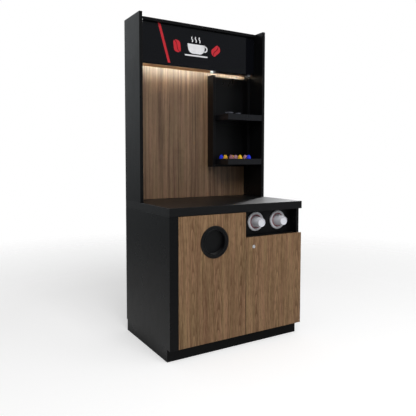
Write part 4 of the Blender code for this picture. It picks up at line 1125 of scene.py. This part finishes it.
class STATION_OT_sign(bpy.types.Operator):
    """Finish the header board and put its vinyl stripe and pictogram on"""

    bl_idname = "station.sign"
    bl_label = "Sign"

    STRIPE_TOP = (-0.3077, 2.0730)
    STRIPE_FOOT = (-0.2338, 1.8222)
    PICTOGRAM = (-0.020, 1.962)
    GLUE = 0.00001  # between the board and a film

    # in shares of the cup's width, from the pictogram's place
    CUP = ((-0.45, -0.37), (0.40, 0.03))
    WAIST = (0.0, -0.14)
    CUP_ROUND = 0.21
    SAUCER = ((-0.58, -0.475), (0.53, -0.417))
    SAUCER_ROUND = 0.028
    # middle, radius, width, first and last angle, right being 0 and up 90
    HANDLE = ((0.385, -0.13), 0.11, 0.055, -100, 100)
    CURLS = (((-0.097, 0.1668), 0.072, 0.044, -48, 48), ((-0.001, 0.273792), 0.072, 0.044, 132, 228))
    CURL_SPACE = 0.18

    BEAN_PLACE = (0.154, -0.022)
    BEAN_TILT = math.radians(28)

    def execute(self, context):
        dress("sign_black", "header_fascia")
        self.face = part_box("header_fascia")[0].y
        self.thick = settings().detail.vinyl
        self.width = settings().detail.sign_cup_width
        self.make_stripe()
        self.make_cup_sign()
        self.make_beans()
        return {"FINISHED"}

    def at(self, place):
        """A place on the board, from shares of the cup's width."""
        return [start + self.width * part for start, part in zip(self.PICTOGRAM, place)]

    def vinyl(self, low, high):
        """A film cut to a rectangle in the sign's plane."""
        front = self.face - self.thick
        return block((low[0], front, low[1]), (high[0], self.face - self.GLUE, high[1]), 0)

    def corners(self, film):
        """The short edges through a film's thickness."""
        return [e for e in film.edges if abs(e.verts[0].co.y - e.verts[1].co.y) > self.thick / 2]

    def make_stripe(self):
        half = settings().detail.stripe_width / 2
        top_x, top_z = self.STRIPE_TOP
        foot_x, foot_z = self.STRIPE_FOOT
        bm = self.vinyl((foot_x - half, foot_z), (foot_x + half, top_z))
        lean = (top_x - foot_x) / (top_z - foot_z)
        for vert in bm.verts:
            vert.co.x += lean * (vert.co.z - foot_z)
        soften(bm, self.thick * 0.3, segments=1)
        piece("sign_stripe", bm, "vinyl_red", "station")

    def make_cup_sign(self):
        """A plain cup on a saucer with three curls of steam."""
        narrowing = 0.86
        x, waist = self.at(self.WAIST)
        bm = self.vinyl(*map(self.at, self.CUP))
        for vert in bm.verts:
            if vert.co.z < waist:
                vert.co.x = x + (vert.co.x - x) * narrowing
        low_corners = [e for e in self.corners(bm) if e.verts[0].co.z < waist]
        round_edges(bm, low_corners, self.width * self.CUP_ROUND, segments=12)
        self.add_band(bm, *self.HANDLE)
        saucer = self.vinyl(*map(self.at, self.SAUCER))
        round_edges(saucer, self.corners(saucer), self.width * self.SAUCER_ROUND, segments=6)
        merge_into(bm, saucer)
        for i in (-1, 0, 1):
            for (across, up), *band in self.CURLS:
                self.add_band(bm, (across + i * self.CURL_SPACE, up), *band)
        piece("sign_cup", bm, "vinyl_white", "station")

    def add_band(self, bm, centre, radius, band, start, end):
        """A curved strip of vinyl round a centre."""
        x, z = self.at(centre)
        near = self.face - self.thick
        far = self.face - self.GLUE
        inner = self.width * (radius - band / 2)
        outer = self.width * (radius + band / 2)
        outline = [(inner, near, 0.0), (outer, near, 0.0), (outer, far, 0.0), (inner, far, 0.0)]
        strip = swept(outline, math.radians(end - start), steps=16, axis=(0.0, -1.0, 0.0))
        turn = Matrix.Rotation(math.radians(-start), 4, "Y")
        merge_into(bm, strip, Matrix.Translation((x, 0.0, z)) @ turn)

    def make_beans(self):
        """A coffee bean on each side of the cup, in two halves with a bent slit between them."""
        x, z = self.PICTOGRAM
        across, up = self.BEAN_PLACE
        bm = bmesh.new()
        for sign in (-1, 1):
            place = Matrix.Translation((x + sign * across, 0.0, z + up))
            for half in (-1, 1):
                merge_into(bm, self.bean_half(half), place @ Matrix.Rotation(self.BEAN_TILT * sign, 4, "Y"))
        piece("sign_beans", bm, "vinyl_red", "station")

    def bean_half(self, half):
        """Half an oval film, cut along a bent line."""
        slit = 0.0040
        cut_x = half * slit / 2
        wide = settings().detail.bean_length * 0.33
        tall = settings().detail.bean_length / 2
        bend = wide * 0.2
        bm = bmesh.new()
        bmesh.ops.create_circle(bm, cap_ends=True, segments=SMALL_STEPS, radius=1.0, matrix=FACING_FRONT)
        bmesh.ops.scale(bm, vec=(wide, 1.0, tall), verts=bm.verts)
        bmesh.ops.bisect_plane(
            bm,
            geom=bm.verts[:] + bm.edges[:] + bm.faces[:],
            plane_co=(cut_x, 0.0, 0.0),
            plane_no=(half, 0.0, 0.0),
            clear_inner=True,
        )
        cut = [e for e in bm.edges if all(abs(v.co.x - cut_x) < SAME_PLACE for v in e.verts)]
        bmesh.ops.subdivide_edges(bm, edges=cut, cuts=16)
        for vert in bm.verts:
            vert.co.x += bend * math.sin(vert.co.z / tall * math.pi)
        made = bmesh.ops.extrude_face_region(bm, geom=bm.faces[:])
        bmesh.ops.translate(bm, vec=(0.0, -self.thick, 0.0), verts=new_verts(made))
        bmesh.ops.recalc_face_normals(bm, faces=bm.faces)
        bmesh.ops.translate(bm, vec=(0.0, self.face - self.GLUE, 0.0), verts=bm.verts)
        return bm


class STATION_OT_lights(bpy.types.Operator):
    """Finish the hidden light and shape the light bar over the shelf box"""

    bl_idname = "station.lights"
    bl_label = "Lights"

    def execute(self, context):
        dress("channel_aluminium", "led_channel")
        dress("diffuser_opal", "led_diffuser")
        self.make_bar()
        for side in SIDES:
            self.make_cap(f"light_bar_end_{side}")
        return {"FINISHED"}

    def make_bar(self):
        """The housing, and a lens and a lip under it that run along the bar and on over the right end cap."""
        low, high, middle, _ = measure("light_bar")
        cap_low, cap_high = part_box("light_bar_end_right")
        housing = block(low, high, rounding=0.0025, segments=4)
        lens = bmesh.new()
        let_in = 0.001
        proud = 0.0002
        half = 0.002
        lip_rear = high.y + 0.012
        lip_top = low.z + 0.0009
        along_bar = (low.x + 0.012, high.x - 0.001, high.y)
        along_cap = (cap_low.x, cap_high.x - 0.003, cap_high.y)
        for left, right, rear in (along_bar, along_cap):
            front = rear - let_in
            merge_into(housing, block((left, front, low.z), (right, lip_rear, lip_top), 0.0002, 1))
            lens_low = (left, front, middle.z - half)
            merge_into(lens, block(lens_low, (right, rear + proud, middle.z + half), 0.0001, 1))
        piece("light_bar_housing", housing, "black_plastic", "station", ["light_bar"])
        piece("light_bar_lens", lens, "bar_lens", "station")

    def make_cap(self, name):
        low, high, middle, _ = measure(name)
        sunk = 0.0004
        bm = block(low, high, rounding=0.0030, segments=5)
        add_screws(bm, [(middle.x, middle.y, low.z + sunk)], FACING_DOWN, radius=0.0027)
        piece(name + "_cap", bm, "cap_plastic", "station", [name])


class STATION_OT_shelf_goods(bpy.types.Operator):
    """Draw the capsules and turn the dishes on the shelves"""

    bl_idname = "station.shelf_goods"
    bl_label = "Shelf goods"

    # name, foil, distance from the shelf's left end, distance behind its front
    LOOSE_CAPSULES = (
        ("capsule_gold_rear", "gold", 0.1039, 0.100),
        ("capsule_pink_left", "pink", 0.1065, 0.0625),
        ("capsule_pink_right", "pink", 0.2290, 0.078),
    )

    def execute(self, context):
        for name in sorted(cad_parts):
            if name.startswith("capsule_"):
                place = measure(name)[2]
                self.make_capsule(name + "_drawn", name.split("_")[1], place.x, place.y, [name])
            if name.startswith("dish_"):
                self.make_dish(name)
        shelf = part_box("shelf_lower")[0]
        for name, foil, along, behind in self.LOOSE_CAPSULES:
            self.make_capsule(name, foil, shelf.x + along, shelf.y + behind)
        return {"FINISHED"}

    def make_capsule(self, name, foil, x, y, replaces=()):
        """A drawn foil capsule, lid down, with a curled brim and a domed body."""
        low, high, _, radius = measure("capsule_gold")
        body = radius * 0.90
        curl = 0.0009
        lid = 0.0010
        brim = 0.0034
        dome = (high.z - low.z - brim) / body
        profile = [(0.0, lid), (radius - 2 * curl, lid)]
        profile += arc((radius - curl, curl), curl, -140, 120, 8)
        profile += [(body + 0.0006, 0.0020)]
        profile += arc((0.0, brim), body, 0, 90, 14, dome)
        bm = turned(profile, MEDIUM_STEPS, Matrix.Translation((x, y, low.z)))
        piece(name, bm, "foil_" + foil, "station", replaces)

    def make_dish(self, name):
        """A low dish with a rounded rim and a foot ring."""
        low, high, middle, radius = measure(name)
        tall = high.z - low.z
        foot = radius * 0.63
        wall = 0.0025
        profile = [(0.0, wall), (foot * 0.9, wall), (foot + 0.002, wall + 0.0012)]
        profile += [(radius - wall - 0.0015, tall - 0.0035)]
        profile += arc((radius - wall / 2, tall - wall / 2), wall / 2, 170, -20, 8)
        profile += [(foot + 0.0034, 0.0022), (foot + 0.0006, 0.0010), (foot, 0.0), (foot - 0.003, 0.0)]
        profile += [(foot - 0.0035, 0.0008), (0.0, 0.0008)]
        bm = turned(profile, MEDIUM_STEPS, Matrix.Translation((middle.x, middle.y, low.z)))
        piece(name + "_glazed", bm, "dish_stoneware", "station", [name])


class STATION_OT_stage(bpy.types.Operator):
    """Lay the floor, light the studio and set the camera"""

    bl_idname = "station.stage"
    bl_label = "Stage"

    # setting, place, size
    LAMPS = (
        ("key", (-0.5, -3.3, 4.3), 2.6),
        ("fill", (2.4, -3.0, 2.4), 2.4),
        ("sheen", (3.70, 2.45, 3.6), 0.5),
    )
    LAMP_AIM = Vector((0.0, 0.0, 1.0))
    SENSOR = 36.0
    FLOOR_RADIUS = 7.0
    FLOOR_DROP = 0.0004
    FADE = (1.6, 4.5)
    MIRRORED_TINT = (0.92, 0.97, 1.0, 1.0)

    def execute(self, context):
        scene = context.scene
        scene.view_settings.view_transform = "Standard"
        look = settings().stage
        self.light_world(scene, look)
        self.lay_floor(look)
        for name, place, size in self.LAMPS:
            self.add_lamp(scene, name, place, size, getattr(look, name))
        data = bpy.data.cameras.new("photo_camera")
        data.lens = look.camera_lens
        data.sensor_width = self.SENSOR
        data.shift_x, data.shift_y = look.camera_shift
        camera = bpy.data.objects.new("photo_camera", data)
        camera.location = look.camera_place
        camera.rotation_euler = look.camera_turn
        scene.collection.objects.link(camera)
        scene.camera = camera
        return {"FINISHED"}

    def light_world(self, scene, look):
        """Even light, white where the camera looks past the station, and a soft room for reflections."""
        world = bpy.data.worlds.new("studio")
        world.use_nodes = True
        scene.world = world
        world.node_tree.nodes.clear()
        studio = Nodes(world.node_tree)
        path = studio.add("LightPath")
        way = studio.split(studio.add("TexCoord")["Generated"])
        climb = studio.ramp(way["Z"], -0.12, 0.28, 0.15, 0.66)
        rear = studio.ramp(way["X"], -0.10, 0.10, climb, 0.66)
        room = studio.ramp(way["Y"], -0.05, 0.10, 0.20, rear)
        soft = studio.add("Background", {"Color": WHITE, "Strength": look.ambient})[0]
        mirrored = studio.add("Background", {"Color": self.MIRRORED_TINT, "Strength": room})[0]
        white = studio.add("Background", {"Color": WHITE, "Strength": 1.0})[0]
        seen = studio.calc("MAXIMUM", path["Is Camera Ray"], path["Is Transmission Ray"])
        indirect = studio.add("MixShader", {0: path["Is Glossy Ray"], 1: soft, 2: mirrored})[0]
        mixed = studio.add("MixShader", {0: seen, 1: indirect, 2: white})[0]
        studio.add("OutputWorld", {"Surface": mixed})

    def lay_floor(self, look):
        """A round pale floor that fades out into the white backdrop."""
        bm = bmesh.new()
        bmesh.ops.create_circle(bm, cap_ends=True, segments=MEDIUM_STEPS, radius=self.FLOOR_RADIUS)
        bmesh.ops.translate(bm, vec=(0.0, 0.0, -self.FLOOR_DROP), verts=bm.verts)
        floor = new_object("studio_floor", bm, self.floor_finish(look))

    def floor_finish(self, look):
        """Lifted towards white for the camera, and darker in mirrored light in front of the station."""
        material = bpy.data.materials.new("studio_floor")
        material.use_nodes = True
        material.node_tree.nodes.clear()
        floor = Nodes(material.node_tree)
        path = floor.add("LightPath")
        place = floor.add("TexCoord")["Object"]
        far = floor.add("VectorMath", {0: place}, operation="LENGTH")["Value"]
        across = floor.split(place)["X"]
        front = floor.ramp(across, -0.46, 0.2, 0.47, 0.28)
        left = floor.ramp(across, -0.95, -0.60, 0.62, 0.95)
        mirrored = floor.blend(floor.ramp(across, -0.56, -0.46, left, front), BLACK, rgba(look.floor))
        tone = floor.blend(path["Is Glossy Ray"], rgba(look.floor), mirrored)
        plain = floor.add("BsdfDiffuse", {"Color": tone})[0]
        lift = floor.times(path["Is Camera Ray"], look.floor_lift)
        glow = floor.add("Emission", {"Color": WHITE, "Strength": lift})[0]
        lit = floor.add("AddShader", {0: plain, 1: glow})[0]
        clear = floor.add("BsdfTransparent")[0]
        mixed = floor.add("MixShader", {0: floor.ramp(far, *self.FADE), 1: lit, 2: clear})[0]
        floor.add("OutputMaterial", {"Surface": mixed})
        return material

    def add_lamp(self, scene, name, place, size, strength):
        """A square lamp aimed at the station. Only the sheen lamp shows in gloss, and only there."""
        for_gloss = name == "sheen"
        data = bpy.data.lights.new(name + "_lamp", "AREA")
        data.shape = "SQUARE"
        data.size = size
        data.energy = strength
        lamp = bpy.data.objects.new(name + "_lamp", data)
        lamp.location = place
        lamp.rotation_euler = (self.LAMP_AIM - Vector(place)).to_track_quat("-Z", "Y").to_euler()
        lamp.visible_camera = False
        lamp.visible_glossy = for_gloss
        lamp.visible_diffuse = not for_gloss
        scene.collection.objects.link(lamp)


OPERATORS = (
    STATION_OT_finishes,
    STATION_OT_boards,
    STATION_OT_hinges,
    STATION_OT_waste_hatch,
    STATION_OT_bin,
    STATION_OT_lock,
    STATION_OT_dispensers,
    STATION_OT_sign,
    STATION_OT_lights,
    STATION_OT_shelf_goods,
    STATION_OT_stage,
)


class STATION_PT_panel(bpy.types.Panel):
    """The station's operators and settings in the sidebar"""

    bl_label = "Coffee Station"
    bl_idname = "STATION_PT_panel"
    bl_space_type = "VIEW_3D"
    bl_region_type = "UI"
    bl_category = "Coffee Station"

    def draw(self, context):
        for operator in OPERATORS:
            self.layout.operator(operator.bl_idname)
        for group in (settings().finish, settings().detail, settings().stage):
            box = self.layout.box()
            for name in group.bl_rna.properties.keys():
                if name not in {"rna_type", "name"}:
                    box.prop(group, name)


CLASSES = (FinishSettings, DetailSettings, StageSettings, StationSettings, *OPERATORS, STATION_PT_panel)


def register():
    for cls in CLASSES:
        bpy.utils.register_class(cls)
    bpy.types.Scene.coffee_station = PointerProperty(type=StationSettings)


def unregister():
    del bpy.types.Scene.coffee_station
    for cls in reversed(CLASSES):
        bpy.utils.unregister_class(cls)


def main():
    register()
    for operator in OPERATORS:
        group, name = operator.bl_idname.split(".")
        getattr(getattr(bpy.ops, group), name)()


if __name__ == "__main__":
    main()
